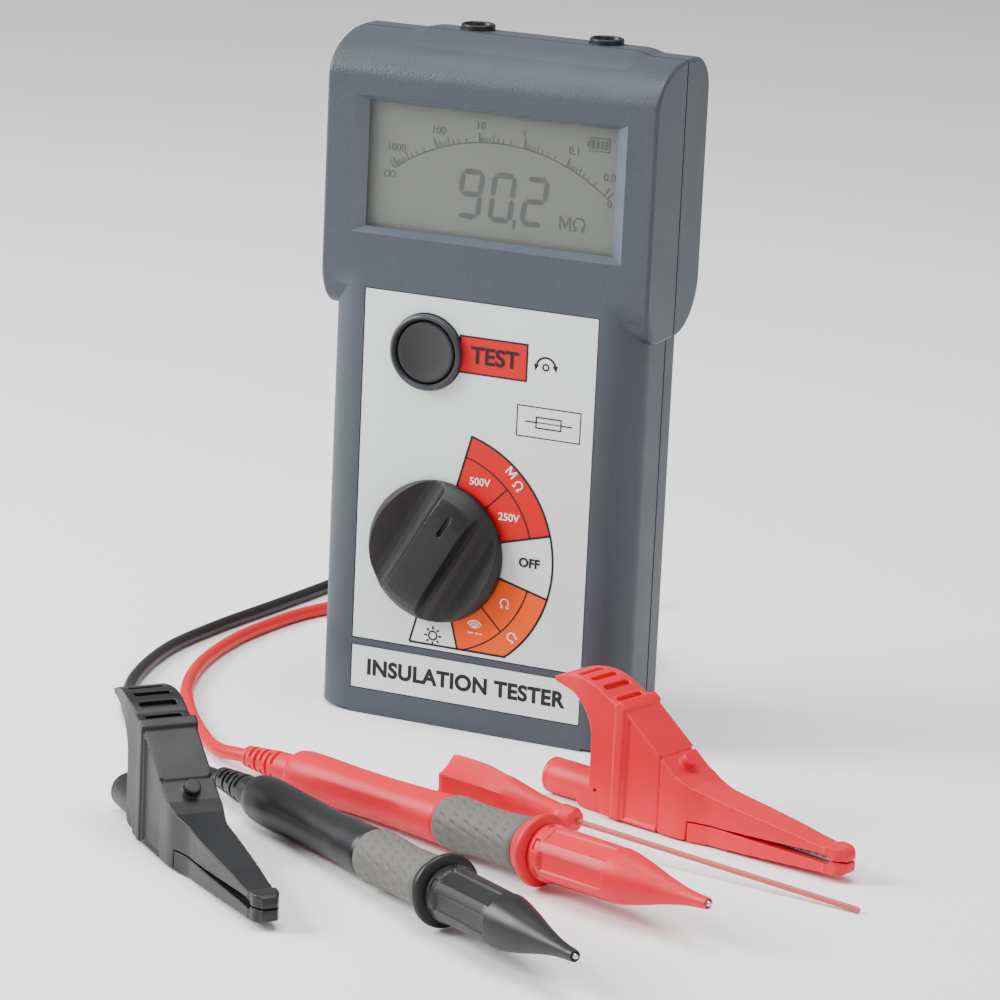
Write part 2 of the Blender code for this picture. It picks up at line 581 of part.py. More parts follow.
# ---------------------------------------------------------------- crocodile clips
def clip_plan(name, place, low, high):
    """The clip from above: full width at the hinge, narrowing along the jaws."""
    side = [(0.003, 0.0060), (0.0100, 0.0066), (0.0180, 0.00725), (0.0500, 0.00725), (0.0535, 0.0068),
            (0.0590, 0.0058), (0.0980, 0.0028), (0.1000, 0.0018)]
    outline = [(x, -y) for x, y in side] + [(x, y) for x, y in reversed(side)]
    return extrusion(name, [outline], (high - low) / 2, None,
                     place @ Matrix.Translation((0, 0, (low + high) / 2)))


def teeth_outline(base, points_at, first, last, pitch=0.0025, depth=0.0006):
    """A strip's side view with a row of teeth along one edge."""
    edge = []
    x = first
    while x < last - pitch / 2:
        edge += [(x, points_at), (x + pitch / 2, points_at + math.copysign(depth, base - points_at))]
        x += pitch
    edge.append((last, points_at))
    return edge + [(last, base), (first, base)]


def build_clip(color):
    x, y, turn = CLIP_LAY[color]
    place = lay(x, y, 0.0, turn)
    sides = place @ TOWARDS_FRONT
    plastic = PLASTIC[color]
    px, pz = PIVOT

    base_line = [(0.0110, 0.0004), (0.0140, 0.0), (0.0460, 0.0), (0.0980, 0.0021), (0.0995, 0.0032),
                 (0.0995, 0.0054), (0.0270, 0.0054), (0.0260, 0.0062), (0.0190, 0.0062),
                 (0.0175, 0.0046), (0.0110, 0.0042)]
    base = extrusion(f"clip_{color}_base", [base_line], 0.0090, plastic, sides)
    boolean(base, clip_plan(f"clip_{color}_base_plan", place, -0.002, 0.008), "INTERSECT")
    boolean(base, rod(f"clip_{color}_barrel", (0, 0, 0.00445), (0.0175, 0, 0.00445), 0.0044, None,
                      place, 28), "UNION")
    boolean(base, rod(f"clip_{color}_barrel_bore", (-0.002, 0, 0.00445), (0.0150, 0, 0.00445), 0.0027,
                      None, place, 20))
    boolean(base, box(f"clip_{color}_channel", (0.0178, -0.0043, 0.0009), (0.0500, 0.0043, 0.0100),
                      None, place))
    for side in (-1, 1):
        flank = box(f"clip_{color}_flank_{side}", (0.0, side * 0.0075 - 0.0025, -0.001),
                    (SKIRT_FRONT + GAP, side * 0.0075 + 0.0025, 0.0080), None, place)
        boolean(base, flank)
    boolean(base, box(f"clip_{color}_low_slot", (0.0572, -0.0014, 0.0040), (0.0964, 0.0014, 0.0080),
                      None, place))
    pin_hole = rod(f"clip_{color}_pin_hole", (px, -0.0061, pz), (px, 0.0061, pz), 0.0012, None, place, 16)
    boolean(base, pin_hole)

    lever_line = ([(0.0180, 0.0074), (0.0208, 0.0074), (0.0216, 0.0050), (0.0224, 0.0014),
                   (0.0232, 0.0008), (SKIRT_FRONT - 0.0012, 0.0006), (SKIRT_FRONT, 0.0008),
                   (SKIRT_FRONT, 0.0060), (0.0985, 0.0061), (0.0993, 0.0068), (0.0985, 0.0078),
                   (0.0953, 0.0082), (0.0823, 0.0103), (0.0593, 0.0134), (0.0550, 0.0141),
                   (0.0510, 0.0162), (0.0470, 0.0170), (0.0285, 0.0314)]
                  + arc((0.0125, 0.0140), (0.0200, 0.0226), 60, 112, 7)
                  + [(0.0036, 0.0345), (0.0045, 0.0332)]
                  + arc((0.0070, 0.0200), (0.0112, 0.0125), 80, 5, 6))
    lever = extrusion(f"clip_{color}_lever", [lever_line], 0.0090, plastic, sides)
    boolean(lever, clip_plan(f"clip_{color}_lever_plan", place, -0.002, 0.050), "INTERSECT")
    boolean(lever, rod(f"clip_{color}_arch", (0.010, 0, 0.0044), (0.0215, 0, 0.0044), 0.0065, None,
                       place, 28))
    boolean(lever, box(f"clip_{color}_pocket", (0.0225, -0.0050, 0.0), (0.0500, 0.0050, 0.0120), None,
                       place))
    boolean(lever, box(f"clip_{color}_hinge_room", (0.0170, -0.0053, 0.0), (0.0285, 0.0053, 0.0074),
                       None, place))
    boolean(lever, box(f"clip_{color}_skirt_room", (0.0280, -0.0053, 0.0),
                       (SKIRT_FRONT + 0.0005, 0.0053, 0.0059), None, place))
    for side in (-1, 1):
        ear = box(f"clip_{color}_ear_{side}", (px - 0.0021, side * EAR_Y - 0.0008, pz),
                  (px + 0.0021, side * EAR_Y + 0.0008, 0.0132), None, place)
        boolean(lever, ear, "UNION")
        knuckle = rod(f"clip_{color}_knuckle_{side}", (px, side * EAR_Y - 0.0008, pz),
                      (px, side * EAR_Y + 0.0008, pz), 0.0021, None, place, 20)
        boolean(lever, knuckle, "UNION")
    boolean(lever, rod(f"clip_{color}_ear_hole", (px, -0.0052, pz), (px, 0.0052, pz), 0.0012, None,
                       place, 16))
    boolean(lever, box(f"clip_{color}_top_slot", (0.0572, -0.0014, 0.0040), (0.0964, 0.0014, 0.0074),
                       None, place))
    peg = rod(f"clip_{color}_peg", (0.0440, 0, 0.0180), (0.0464, 0, 0.0208), 0.0021, None, place, 16)
    boolean(lever, peg, "UNION")

    extrusion(f"clip_{color}_teeth_low", [teeth_outline(0.0043, 0.0056, 0.0576, 0.0960)], 0.0011,
              STEEL, sides)
    extrusion(f"clip_{color}_teeth_top", [teeth_outline(0.0071, 0.0059, 0.0576, 0.0960)], 0.0011,
              STEEL, sides)
    rod(f"clip_{color}_pin", (px, -0.0049, pz), (px, 0.0049, pz), 0.0009, STEEL, place, 16)
    turns, per_turn = 3, 8
    coil = [Vector((px + 0.0016 * math.sin(2 * math.pi * i / per_turn), -0.0015 + 0.0030 * i / 24,
                    pz - 0.0016 * math.cos(2 * math.pi * i / per_turn)))
            for i in range(turns * per_turn + 1)]
    leg = [Vector((px + 0.0050, 0.0015, 0.0016)), Vector((px + 0.0110, 0.0015, 0.0016))]
    tube(f"clip_{color}_spring", coil + leg, 0.00030, STEEL, place, resolution=1)


def build_prod():
    x, y, turn = PROD_LAY
    place = lay(x, y, 0.0082, turn, -math.atan(0.0585)) @ ALONG_X
    turned("prod_cone", [
        (0.0024, 0.0400), (0.0028, 0.0396), (0.0031, 0.0320), (0.0046, 0.0260), (0.0066, 0.0200),
        (0.0073, 0.0150), (0.0072, 0.0), (0.0024, 0.0), (0.0024, 0.0200), (0.0012, 0.0220),
        (0.0012, 0.0400),
    ], RED, place, 28, ring=True)
    turned("prod_rod", [(0.0, 0.1240), (0.0006, 0.1238), (0.0008, 0.1230), (0.0008, 0.0225),
                        (0.0, 0.0225)], RED, place, 12)


build_front_case()
build_rear_case()
build_seal()
build_display()
build_labels()
build_button()
build_knob()
build_electronics()
build_battery()
build_case_screws()
build_sockets()
for lead in ("red", "black"):
    build_probe(lead)
    build_lead(lead)
    build_clip(lead)
build_prod()
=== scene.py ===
"""Looks of the insulation resistance tester: fine shells, printed dial, display, leads and clips.

Metres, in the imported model's frame: the tester faces -Y and stands on z = 0. Lists of points
inside mm() are in millimetres.
"""

import math

import bmesh
import bpy
from mathutils import Matrix, Vector


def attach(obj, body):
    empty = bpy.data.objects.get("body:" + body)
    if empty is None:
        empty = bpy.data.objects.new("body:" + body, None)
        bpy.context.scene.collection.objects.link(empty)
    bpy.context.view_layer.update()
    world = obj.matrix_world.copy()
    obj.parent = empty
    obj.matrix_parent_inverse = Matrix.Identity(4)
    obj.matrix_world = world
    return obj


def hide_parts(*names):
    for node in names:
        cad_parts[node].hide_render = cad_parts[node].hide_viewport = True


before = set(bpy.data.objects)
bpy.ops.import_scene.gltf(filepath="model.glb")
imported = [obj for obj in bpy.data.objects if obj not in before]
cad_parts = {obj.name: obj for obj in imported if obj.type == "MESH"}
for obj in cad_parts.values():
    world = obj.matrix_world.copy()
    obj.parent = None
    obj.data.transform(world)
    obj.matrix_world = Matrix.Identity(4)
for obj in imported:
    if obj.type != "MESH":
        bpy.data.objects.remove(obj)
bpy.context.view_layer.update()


def mm(points):
    """Points given in millimetres, in metres."""
    return [tuple(value / 1000 for value in point) for point in points]


# ---- places, as in the model
ROOT = "tester_and_leads"
FRONT_Y = -0.0170
HEAD_REAR_Y = 0.0200
BODY_REAR_Y = 0.0115
PARTING_Y = 0.0030
HEAD_HALF_WIDTH = 0.0490
BODY_HALF_WIDTH = 0.0468
HEAD_BOTTOM = 0.1155
HEAD_TOP = 0.1920
BASE_STEP = 0.00065
FLAT_HALF_WIDTH = 0.0360
WALL = 0.0024
HALF_GAP = 0.00015
FIT_GAP = 0.0003
SEAM_HALF = 0.00036
SEAM_DEPTH = 0.0005
CASE_CREASE = 28
HEAD_FRONT_ARC = (0.004, 0.180)
HEAD_REAR_ARC = (0.010, 0.182)
WINDOW_HALF = 0.0394
LCD_HALF = 0.0355
WINDOW_Z = (0.1383, 0.1753)
LABEL_HALF = 0.0349
LABEL_Z = (0.0222, 0.1223)
PLATE_Z = (0.0076, 0.0198)
LABEL_FACE = FRONT_Y + 0.0001
PRINT_HALF = 0.00002  # half the thickness of a printed shape
PRINT_LAYERS = (LABEL_FACE - 0.00002, LABEL_FACE - 0.00007, LABEL_FACE - 0.00012)
DISPLAY_FACE = -0.01235
BUTTON_AT = (-0.0156, 0.1067)
KNOB_AT = (-0.0100, 0.0509)
KNOB_ANGLE = math.radians(60)
SOCKET_X = (-0.0160, 0.0225)
SOCKET_Y = 0.0090
SCREW_X = 0.0424
SCREW_Z = 0.1780
COVER_HALF = 0.0370
COVER_Z = (0.0080, 0.0690)
PROBE_SLOPE = math.atan(0.0413)
PROBE_AXIS = 0.0051
LEAD_RADIUS = 0.0019
COIL_TURN = 0.0269
PLUG_AXIS = 0.0058
PLUG_RUN = 0.0172
COIL_PITCH = 0.0039
COIL_TURNS = 6
COIL_LAYERS = (0.0020, 0.0059)
CLIP_PIVOT = (0.0220, 0.0034)
CLIP_EAR_Y = 0.0032
CLIP_HALF = 0.0090
CLIP_BARREL_Z = 0.0050
CLIP_VOXEL = 0.00025
COIL_AT = {"red": (-0.0090, 0.0600), "black": (-0.0670, 0.1240)}
LEAD_JOINS = {"red": math.radians(80), "black": math.radians(180)}
PLUG_LEAVES = {"red": math.radians(250), "black": math.radians(60)}
PROBE_LAY = {"red": (-0.0330, -0.0832, -22.0), "black": (-0.0305, -0.1034, -33.6)}
CLIP_LAY = {"red": (0.0433, -0.0531, -16.5), "black": (-0.0470, -0.1253, -41.0)}
PROD_LAY = (0.0265, -0.0827, -9.0)
LEAD_ROUTE = {
    "red": mm([(-38.5, -80.9, 4.3), (-44.5, -77.4, 3.2), (-52, -70, 2.2), (-61.5, -58.5, 2),
               (-70.5, -46.2, 2), (-81.3, -27.6, 2), (-89.2, -4, 2), (-92.2, 21.7, 2), (-90.6, 44, 2),
               (-87, 61, 2), (-80, 75, 2), (-70, 84.2, 2), (-58.5, 89.2, 2), (-46, 91.2, 2),
               (-33, 91.1, 2), (-19.7, 89.2, 2)]),
    "black": mm([(-35.7, -100, 4.3), (-44, -94.3, 3.1), (-55, -85.5, 2.1), (-66.5, -75.5, 2),
                 (-76.5, -66, 2), (-85, -55.5, 2), (-93.5, -40, 2), (-100.5, -20, 2), (-104.5, 5.7, 2),
                 (-103, 32.4, 2), (-99, 60, 2), (-96.2, 80, 2), (-94.5, 95, 2), (-93.9, 108.4, 2)]),
}

ALONG_X = Matrix(((0, 0, 1, 0), (1, 0, 0, 0), (0, 1, 0, 0), (0, 0, 0, 1)))
ALONG_Y = Matrix(((1, 0, 0, 0), (0, 0, 1, 0), (0, -1, 0, 0), (0, 0, 0, 1)))
TOWARDS_FRONT = Matrix(((1, 0, 0, 0), (0, 0, -1, 0), (0, 1, 0, 0), (0, 0, 0, 1)))
IDENTITY = Matrix.Identity(4)


# ---- camera
def look_at_tester():
    yaw, pitch, roll, distance = math.radians(23.5), math.radians(14.5), 0.04645, 1.26827
    target = Vector((0.00097, 0.0, 0.06328))
    back = Vector((math.sin(yaw) * math.cos(pitch), -math.cos(yaw) * math.cos(pitch), math.sin(pitch)))
    right = Vector((math.cos(yaw), math.sin(yaw), 0.0))
    up = back.cross(right)
    rolled_right = math.cos(roll) * right + math.sin(roll) * up
    rolled_up = math.cos(roll) * up - math.sin(roll) * right
    data = bpy.data.cameras.new("camera")
    data.lens = 163.34
    data.sensor_width = 36.0
    data.clip_start = 0.05
    data.clip_end = 20.0
    camera = bpy.data.objects.new("camera", data)
    spot = target + distance * back
    camera.matrix_world = Matrix((
        (rolled_right.x, rolled_up.x, back.x, spot.x),
        (rolled_right.y, rolled_up.y, back.y, spot.y),
        (rolled_right.z, rolled_up.z, back.z, spot.z),
        (0, 0, 0, 1)))
    bpy.context.scene.collection.objects.link(camera)
    bpy.context.scene.camera = camera


look_at_tester()


# ---- materials
def srgb(red, green, blue):
    """A colour given in 0-255 display values, as linear values."""
    def linear(value):
        value /= 255
        return value / 12.92 if value <= 0.04045 else ((value + 0.055) / 1.055) ** 2.4
    return (linear(red), linear(green), linear(blue))


def with_inputs(node, **values):
    """Set a node's input values; an underscore stands for a space in an input's name."""
    for name, value in values.items():
        node.inputs[name.replace("_", " ")].default_value = value
    return node


def moulded(name, color, roughness=0.45, grain=0.12, grain_size=0.0005, mottle=0.06, patch_size=0.02,
            metallic=0.0, coat=0.0, specular=0.5, subsurface=0.0, alpha=1.0):
    """A procedural finish: fine grain in the bump, slow mottling in colour and roughness."""
    made = bpy.data.materials.new(name)
    made.use_nodes = True
    nodes, links = made.node_tree.nodes, made.node_tree.links
    shader = with_inputs(nodes["Principled BSDF"], Metallic=metallic, Coat_Weight=coat,
                         Coat_Roughness=0.15, Specular_IOR_Level=specular,
                         Subsurface_Weight=subsurface, Subsurface_Radius=(0.004, 0.001, 0.0008),
                         Alpha=alpha)
    place = nodes.new("ShaderNodeTexCoord")
    slow = with_inputs(nodes.new("ShaderNodeTexNoise"), Scale=1 / patch_size, Detail=4)
    fine = with_inputs(nodes.new("ShaderNodeTexNoise"), Scale=1 / grain_size, Detail=3)
    for noise in (slow, fine):
        links.new(place.outputs["Object"], noise.inputs["Vector"])
    shade = nodes.new("ShaderNodeValToRGB")
    stops = zip(shade.color_ramp.elements, (0.3, 0.7), (1 - mottle, 1 + mottle), strict=True)
    for stop, position, factor in stops:
        stop.position = position
        stop.color = (*(min(1.0, c * factor) for c in color), 1)
    mix = with_inputs(nodes.new("ShaderNodeMix"), Factor=0.5)
    links.new(slow.outputs["Fac"], mix.inputs["A"])
    links.new(fine.outputs["Fac"], mix.inputs["B"])
    links.new(mix.outputs["Result"], shade.inputs["Fac"])
    links.new(shade.outputs["Color"], shader.inputs["Base Color"])
    gloss = with_inputs(nodes.new("ShaderNodeMapRange"), From_Min=0.3, From_Max=0.7,
                        To_Min=roughness * 0.88, To_Max=min(1.0, roughness * 1.12))
    links.new(slow.outputs["Fac"], gloss.inputs["Value"])
    links.new(gloss.outputs["Result"], shader.inputs["Roughness"])
    bump = with_inputs(nodes.new("ShaderNodeBump"), Strength=grain, Distance=grain_size * 0.5)
    links.new(fine.outputs["Fac"], bump.inputs["Height"])
    links.new(bump.outputs["Normal"], shader.inputs["Normal"])
    return made


CASE = moulded("case_grey", srgb(57, 64, 71), 0.46, 0.32, 0.0007, 0.14, 0.03, specular=0.4)
# Lighter than the case grey: a painted highlight for the window bevel catching the key light; its low
# roughness is the bevel's real gloss.
CASE_GLOSS_AND_PAINTED_HIGHLIGHT = moulded("case_grey_gloss_painted_highlight", srgb(78, 86, 95), 0.20, 0.05, 0.0007, 0.08, 0.03)
BEZEL = moulded("bezel_grey", srgb(42, 45, 50), 0.40, 0.15, 0.0005, 0.05)
BUTTON = moulded("button_black", srgb(40, 39, 41), 0.45, 0.3, 0.0005, 0.08, specular=0.35)
SEAL = moulded("seal_black", srgb(22, 23, 24), 0.8, 0.2)
LABEL = moulded("label_grey", srgb(210, 216, 216), 0.45, 0.06, 0.0004, 0.025, 0.01)
INK = moulded("print_dark", srgb(30, 28, 32), 0.5, 0.05, mottle=0.04, specular=0.25)
INK_RED = moulded("print_red", srgb(198, 8, 14), 0.5, 0.05, mottle=0.03, specular=0.25)
INK_ORANGE = moulded("print_orange", srgb(228, 80, 0), 0.5, 0.05, mottle=0.03, specular=0.25)
INK_LIGHT = moulded("print_light", srgb(238, 228, 220), 0.45, 0.05, mottle=0.02)
GLASS_FRONT = moulded("display_glass", srgb(79, 82, 73), 0.35, 0.02, 0.0006, 0.015, 0.03,
                      specular=0.25)
SEGMENT = moulded("display_segment", srgb(24, 25, 22), 0.5, 0.02, mottle=0.03, specular=0.2)
WINDOW = moulded("clear_window", (0.75, 0.8, 0.8), 0.08, 0.0, mottle=0.02, alpha=0.05)
BLACK = moulded("black_plastic", srgb(26, 27, 29), 0.40, 0.14, 0.0004, 0.10, 0.012, specular=0.35)
KNOB = moulded("knob_black", srgb(21, 21, 23), 0.44, 0.34, 0.0005, 0.14, 0.012, specular=0.40)
RED = moulded("red_plastic", srgb(214, 10, 40), 0.44, 0.10, 0.0005, 0.05, 0.015, specular=0.32,
              subsurface=0.05)
LEAD_RED = moulded("lead_red", srgb(208, 8, 20), 0.42, 0.06, 0.0004, 0.04, 0.02, specular=0.35,
                   subsurface=0.04)
LEAD_BLACK = moulded("lead_black", srgb(20, 20, 22), 0.38, 0.08, 0.0004, 0.10, 0.02, specular=0.4)
GRIP = moulded("grip_grey", srgb(98, 97, 92), 0.60, 0.30, 0.0004, 0.07, 0.006, specular=0.3)
STEEL = moulded("steel", srgb(190, 190, 188), 0.28, 0.15, 0.0003, 0.06, 0.004, metallic=1.0)
BRASS = moulded("brass", srgb(206, 172, 96), 0.28, 0.12, 0.0003, 0.08, 0.004, metallic=1.0)
COPPER = moulded("copper", srgb(176, 98, 58), 0.35, 0.5, 0.0003, 0.15, 0.003, metallic=0.8)
BOARD = moulded("board_green", srgb(28, 92, 52), 0.45, 0.4, 0.0008, 0.25, 0.004, coat=0.3)
CERAMIC = moulded("ceramic", srgb(222, 218, 206), 0.35, 0.08, 0.0005, 0.05, 0.006)
ROD = moulded("rod_red", srgb(190, 84, 76), 0.42, 0.10, 0.0005, 0.10, 0.006)
TIE = moulded("tie_black", srgb(30, 30, 31), 0.5, 0.1, 0.0005, 0.08)


def cell_sleeve():
    """A cell's printed sleeve: a copper-coloured band near the positive end on a black can."""
    made = moulded("cell_sleeve", srgb(40, 40, 42), 0.3, 0.05, 0.0004, 0.05, 0.01, coat=0.3)
    nodes, links = made.node_tree.nodes, made.node_tree.links
    shader = nodes["Principled BSDF"]
    dark = shader.inputs["Base Color"].links[0].from_socket
    place = nodes.new("ShaderNodeTexCoord")
    split = nodes.new("ShaderNodeSeparateXYZ")
    links.new(place.outputs["Object"], split.inputs["Vector"])
    edge = with_inputs(nodes.new("ShaderNodeMapRange"), From_Min=0.0470, From_Max=0.0473)
    links.new(split.outputs["Z"], edge.inputs["Value"])
    band = nodes.new("ShaderNodeMix")
    band.data_type = "RGBA"
    band.inputs["B"].default_value = (*srgb(196, 122, 58), 1)
    links.new(edge.outputs["Result"], band.inputs["Factor"])
    links.new(dark, band.inputs["A"])
    links.new(band.outputs["Result"], shader.inputs["Base Color"])
    return made


CELL = cell_sleeve()
PLASTIC = {"red": RED, "black": BLACK}
JACKET = {"red": LEAD_RED, "black": LEAD_BLACK}


# ---- modelling helpers
def piece(name, mesh, mat, slot, place=IDENTITY, body=ROOT, replaces=()):
    """A shown piece, riding on a body; `replaces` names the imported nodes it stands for."""
    obj = bpy.data.objects.new(name, mesh)
    obj.matrix_world = place
    bpy.context.scene.collection.objects.link(obj)
    mesh.materials.clear()
    mesh.materials.append(mat)
    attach(obj, body)
    if replaces:
        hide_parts(*replaces)
    return obj


def smooth(mesh, angle=40):
    mesh.shade_smooth()
    mesh.set_sharp_from_angle(angle=math.radians(angle))
    return mesh


def bmesh_to_mesh(name, bm):
    mesh = bpy.data.meshes.new(name)
    bmesh.ops.recalc_face_normals(bm, faces=bm.faces)
    bm.to_mesh(mesh)
    bm.free()
    return mesh


def box_mesh(name, low, high, top_inset=(0.0, 0.0)):
    """A box between two corners; `top_inset` narrows its upper face in x and y."""
    bm = bmesh.new()
    bmesh.ops.create_cube(bm, size=1.0)
    low, high = Vector(low), Vector(high)
    for vert in bm.verts:
        upper = vert.co.z > 0
        for axis in range(3):
            vert.co[axis] = (low[axis] + high[axis]) / 2 + vert.co[axis] * (high[axis] - low[axis])
        if upper:
            vert.co.x -= math.copysign(top_inset[0], vert.co.x - (low.x + high.x) / 2)
            vert.co.y -= math.copysign(top_inset[1], vert.co.y - (low.y + high.y) / 2)
    return bmesh_to_mesh(name, bm)


def rod_mesh(name, start, end, radius, segments=48):
    """A round bar between two points."""
    start, end = Vector(start), Vector(end)
    turn = Vector((0, 0, 1)).rotation_difference(end - start).to_matrix().to_4x4()
    bm = bmesh.new()
    bmesh.ops.create_cone(bm, cap_ends=True, segments=segments, radius1=radius, radius2=radius,
                          depth=(end - start).length,
                          matrix=Matrix.Translation((start + end) / 2) @ turn)
    return bmesh_to_mesh(name, bm)


def extrusion_mesh(name, outlines, half):
    """Flat outlines, the first with the others as holes, `half` thick each way along local z."""
    curve = bpy.data.curves.new(name, "CURVE")
    curve.dimensions = "2D"
    curve.fill_mode = "BOTH"
    curve.extrude = half
    for outline in outlines:
        spline = curve.splines.new("POLY")
        spline.points.add(len(outline) - 1)
        for point, (u, v) in zip(spline.points, outline, strict=True):
            point.co = (u, v, 0.0, 1.0)
        spline.use_cyclic_u = True
    guide = bpy.data.objects.new(name, curve)
    bpy.context.scene.collection.objects.link(guide)
    mesh = bpy.data.meshes.new_from_object(guide.evaluated_get(bpy.context.evaluated_depsgraph_get()))
    bpy.data.objects.remove(guide)
    bpy.data.curves.remove(curve)
    bm = bmesh.new()
    bm.from_mesh(mesh)
    bmesh.ops.remove_doubles(bm, verts=bm.verts, dist=0.000002)
    if len(outlines) == 1:
        bmesh.ops.dissolve_limit(bm, angle_limit=math.radians(0.3), verts=bm.verts, edges=bm.edges)
    bpy.data.meshes.remove(mesh)
    return bmesh_to_mesh(name, bm)


def circle(radius, height, count):
    """Points round local z."""
    angles = [2 * math.pi * i / count for i in range(count)]
    return [(radius * math.cos(a), radius * math.sin(a), height) for a in angles]


def turned_mesh(name, profile, segments=72, ring=False):
    """A shape turned about local z from (radius, height) points."""
    bm = bmesh.new()
    loops = []
    for radius, height in profile:
        if radius < 1e-7:
            loops.append([bm.verts.new((0, 0, height))])
        else:
            loops.append([bm.verts.new(point) for point in circle(radius, height, segments)])
    pairs = list(zip(loops, loops[1:])) + ([(loops[-1], loops[0])] if ring else [])
    for upper, lower in pairs:
        for i in range(segments):
            j = (i + 1) % segments
            corners = [upper[i % len(upper)], upper[j % len(upper)],
                       lower[j % len(lower)], lower[i % len(lower)]]
            unique = list(dict.fromkeys(corners))
            if len(unique) > 2:
                bm.faces.new(unique)
    return bmesh_to_mesh(name, bm)


def sculpted_mesh(name, low, high, radius, rings=120, around=96, bore=None):
    """A bar about local z whose radius is a function of height and angle; `bore` hollows it."""
    loops = []
    for k in range(rings + 1):
        height = low + (high - low) * k / rings
        loop = []
        for i in range(around):
            angle = 2 * math.pi * i / around
            r = radius(height, angle)
            loop.append((r * math.cos(angle), r * math.sin(angle), height))
        loops.append(loop)
    if bore:
        loops += [circle(bore, high, around), circle(bore, low, around)]
    return loft_mesh(name, loops, bool(bore))


def loft_mesh(name, loops, ring=False):
    """A body through equal loops of points: its ends are filled, or joined as a ring's are."""
    bm = bmesh.new()
    rings = [[bm.verts.new(point) for point in loop] for loop in loops]
    count = len(rings[0])
    for lower, upper in zip(rings, rings[1:] + (rings[:1] if ring else [])):
        for i in range(count):
            j = (i + 1) % count
            bm.faces.new((lower[i], lower[j], upper[j], upper[i]))
    if not ring:
        bm.faces.new(list(reversed(rings[0])))
        bm.faces.new(rings[-1])
    return bmesh_to_mesh(name, bm)


def boolean(obj, mesh, operation="DIFFERENCE", place=None):
    """Cut or join a helper mesh and make it part of the object's own mesh at once."""
    helper = bpy.data.objects.new("helper", mesh)
    helper.matrix_world = obj.matrix_world if place is None else place
    bpy.context.scene.collection.objects.link(helper)
    cut = obj.modifiers.new("cut", "BOOLEAN")
    cut.operation = operation
    cut.solver = "EXACT"
    cut.object = helper
    apply_modifiers(obj)
    bpy.data.objects.remove(helper)
    bpy.data.meshes.remove(mesh)
    return obj


def apply_modifiers(obj):
    bpy.context.view_layer.update()
    result = bpy.data.meshes.new_from_object(obj.evaluated_get(bpy.context.evaluated_depsgraph_get()))
    obj.modifiers.clear()
    old = obj.data
    name = old.name
    obj.data = result
    bpy.data.meshes.remove(old)
    result.name = name
    return obj


def bevelled(obj, width, segments=3, angle=40):
    rounding = obj.modifiers.new("bevel", "BEVEL")
    rounding.width = width
    rounding.segments = segments
    rounding.limit_method = "ANGLE"
    rounding.angle_limit = math.radians(angle)
    return apply_modifiers(obj)


def work(mesh, place=IDENTITY):
    """A bare object to model on, before it becomes a piece."""
    obj = bpy.data.objects.new(mesh.name, mesh)
    obj.matrix_world = place
    bpy.context.scene.collection.objects.link(obj)
    return obj


def finished(obj):
    """Take the worked mesh and drop its object."""
    mesh = obj.data
    bpy.data.objects.remove(obj)
    return mesh


def soften(obj, voxel, rounds=4, keep=0.35):
    """Round every edge as a moulding's are: remesh finely, relax, and thin the mesh out again."""
    remesh = obj.modifiers.new("remesh", "REMESH")
    remesh.mode = "VOXEL"
    remesh.voxel_size = voxel
    relax = obj.modifiers.new("relax", "SMOOTH")
    relax.factor = 0.5
    relax.iterations = rounds
    thin = obj.modifiers.new("thin", "DECIMATE")
    thin.ratio = keep
    apply_modifiers(obj)
    obj.data.shade_smooth()


def weighted(obj):
    """Even out the shading of large flat faces beside small round ones."""
    normals = obj.modifiers.new("normals", "WEIGHTED_NORMAL")
    normals.keep_sharp = True
    normals.weight = 80


def arc(center, radii, start, end, steps):
    """Points along an ellipse, angles in degrees."""
    points = []
    for i in range(steps + 1):
        angle = math.radians(start + (end - start) * i / steps)
        points.append((center[0] + radii[0] * math.cos(angle), center[1] + radii[1] * math.sin(angle)))
    return points


def blended(points, reach=0.0006):
    """A radius by height read from (height, radius) points, with its corners rounded."""
    def straight(height):
        if height <= points[0][0]:
            return points[0][1]
        for (z0, r0), (z1, r1) in zip(points, points[1:]):
            if height <= z1:
                return r0 + (r1 - r0) * (height - z0) / (z1 - z0)
        return points[-1][1]

    def rounded(height):
        return sum(straight(height + reach * k / 3) for k in range(-3, 4)) / 7
    return rounded


def step(value, low, high):
    """A smooth rise from 0 at `low` to 1 at `high`."""
    t = min(1.0, max(0.0, (value - low) / (high - low)))
    return t * t * (3 - 2 * t)


def turned_piece(name, profile, segments, mat, slot, place, angle=40, ring=False, **riding):
    """A piece turned about its own z; `riding` says its body and what it replaces."""
    return piece(name, smooth(turned_mesh(name, profile, segments, ring), angle), mat, slot, place,
                 **riding)


def lay(x, y, z, turn, tilt=0.0):
    """The place of a piece on the bench: turned in degrees, tilted in radians."""
    return Matrix.Translation((x, y, z)) @ Matrix.Rotation(math.radians(turn), 4, "Z") \
        @ Matrix.Rotation(-tilt, 4, "Y")


def finish_nodes(mat, *nodes):
    """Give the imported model's own nodes their final material."""
    for node in nodes:
        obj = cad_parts[node]
        obj.data.materials.clear()
        obj.data.materials.append(mat)


# ---- leads
def smooth_path(points, spacing):
    """A smooth curve through the points, cut into short straight runs."""
    route = [Vector(p) for p in points]
    route = [2 * route[0] - route[1], *route, 2 * route[-1] - route[-2]]
    path = []
    for a, b, c, d in zip(route, route[1:], route[2:], route[3:]):
        count = max(1, round((c - b).length / spacing))
        for i in range(count):
            t = i / count
            path.append(0.5 * (2 * b + (c - a) * t + (2 * a - 5 * b + 4 * c - d) * t * t
                               + (3 * b - a - 3 * c + d) * t * t * t))
    path.append(route[-2])
    return path


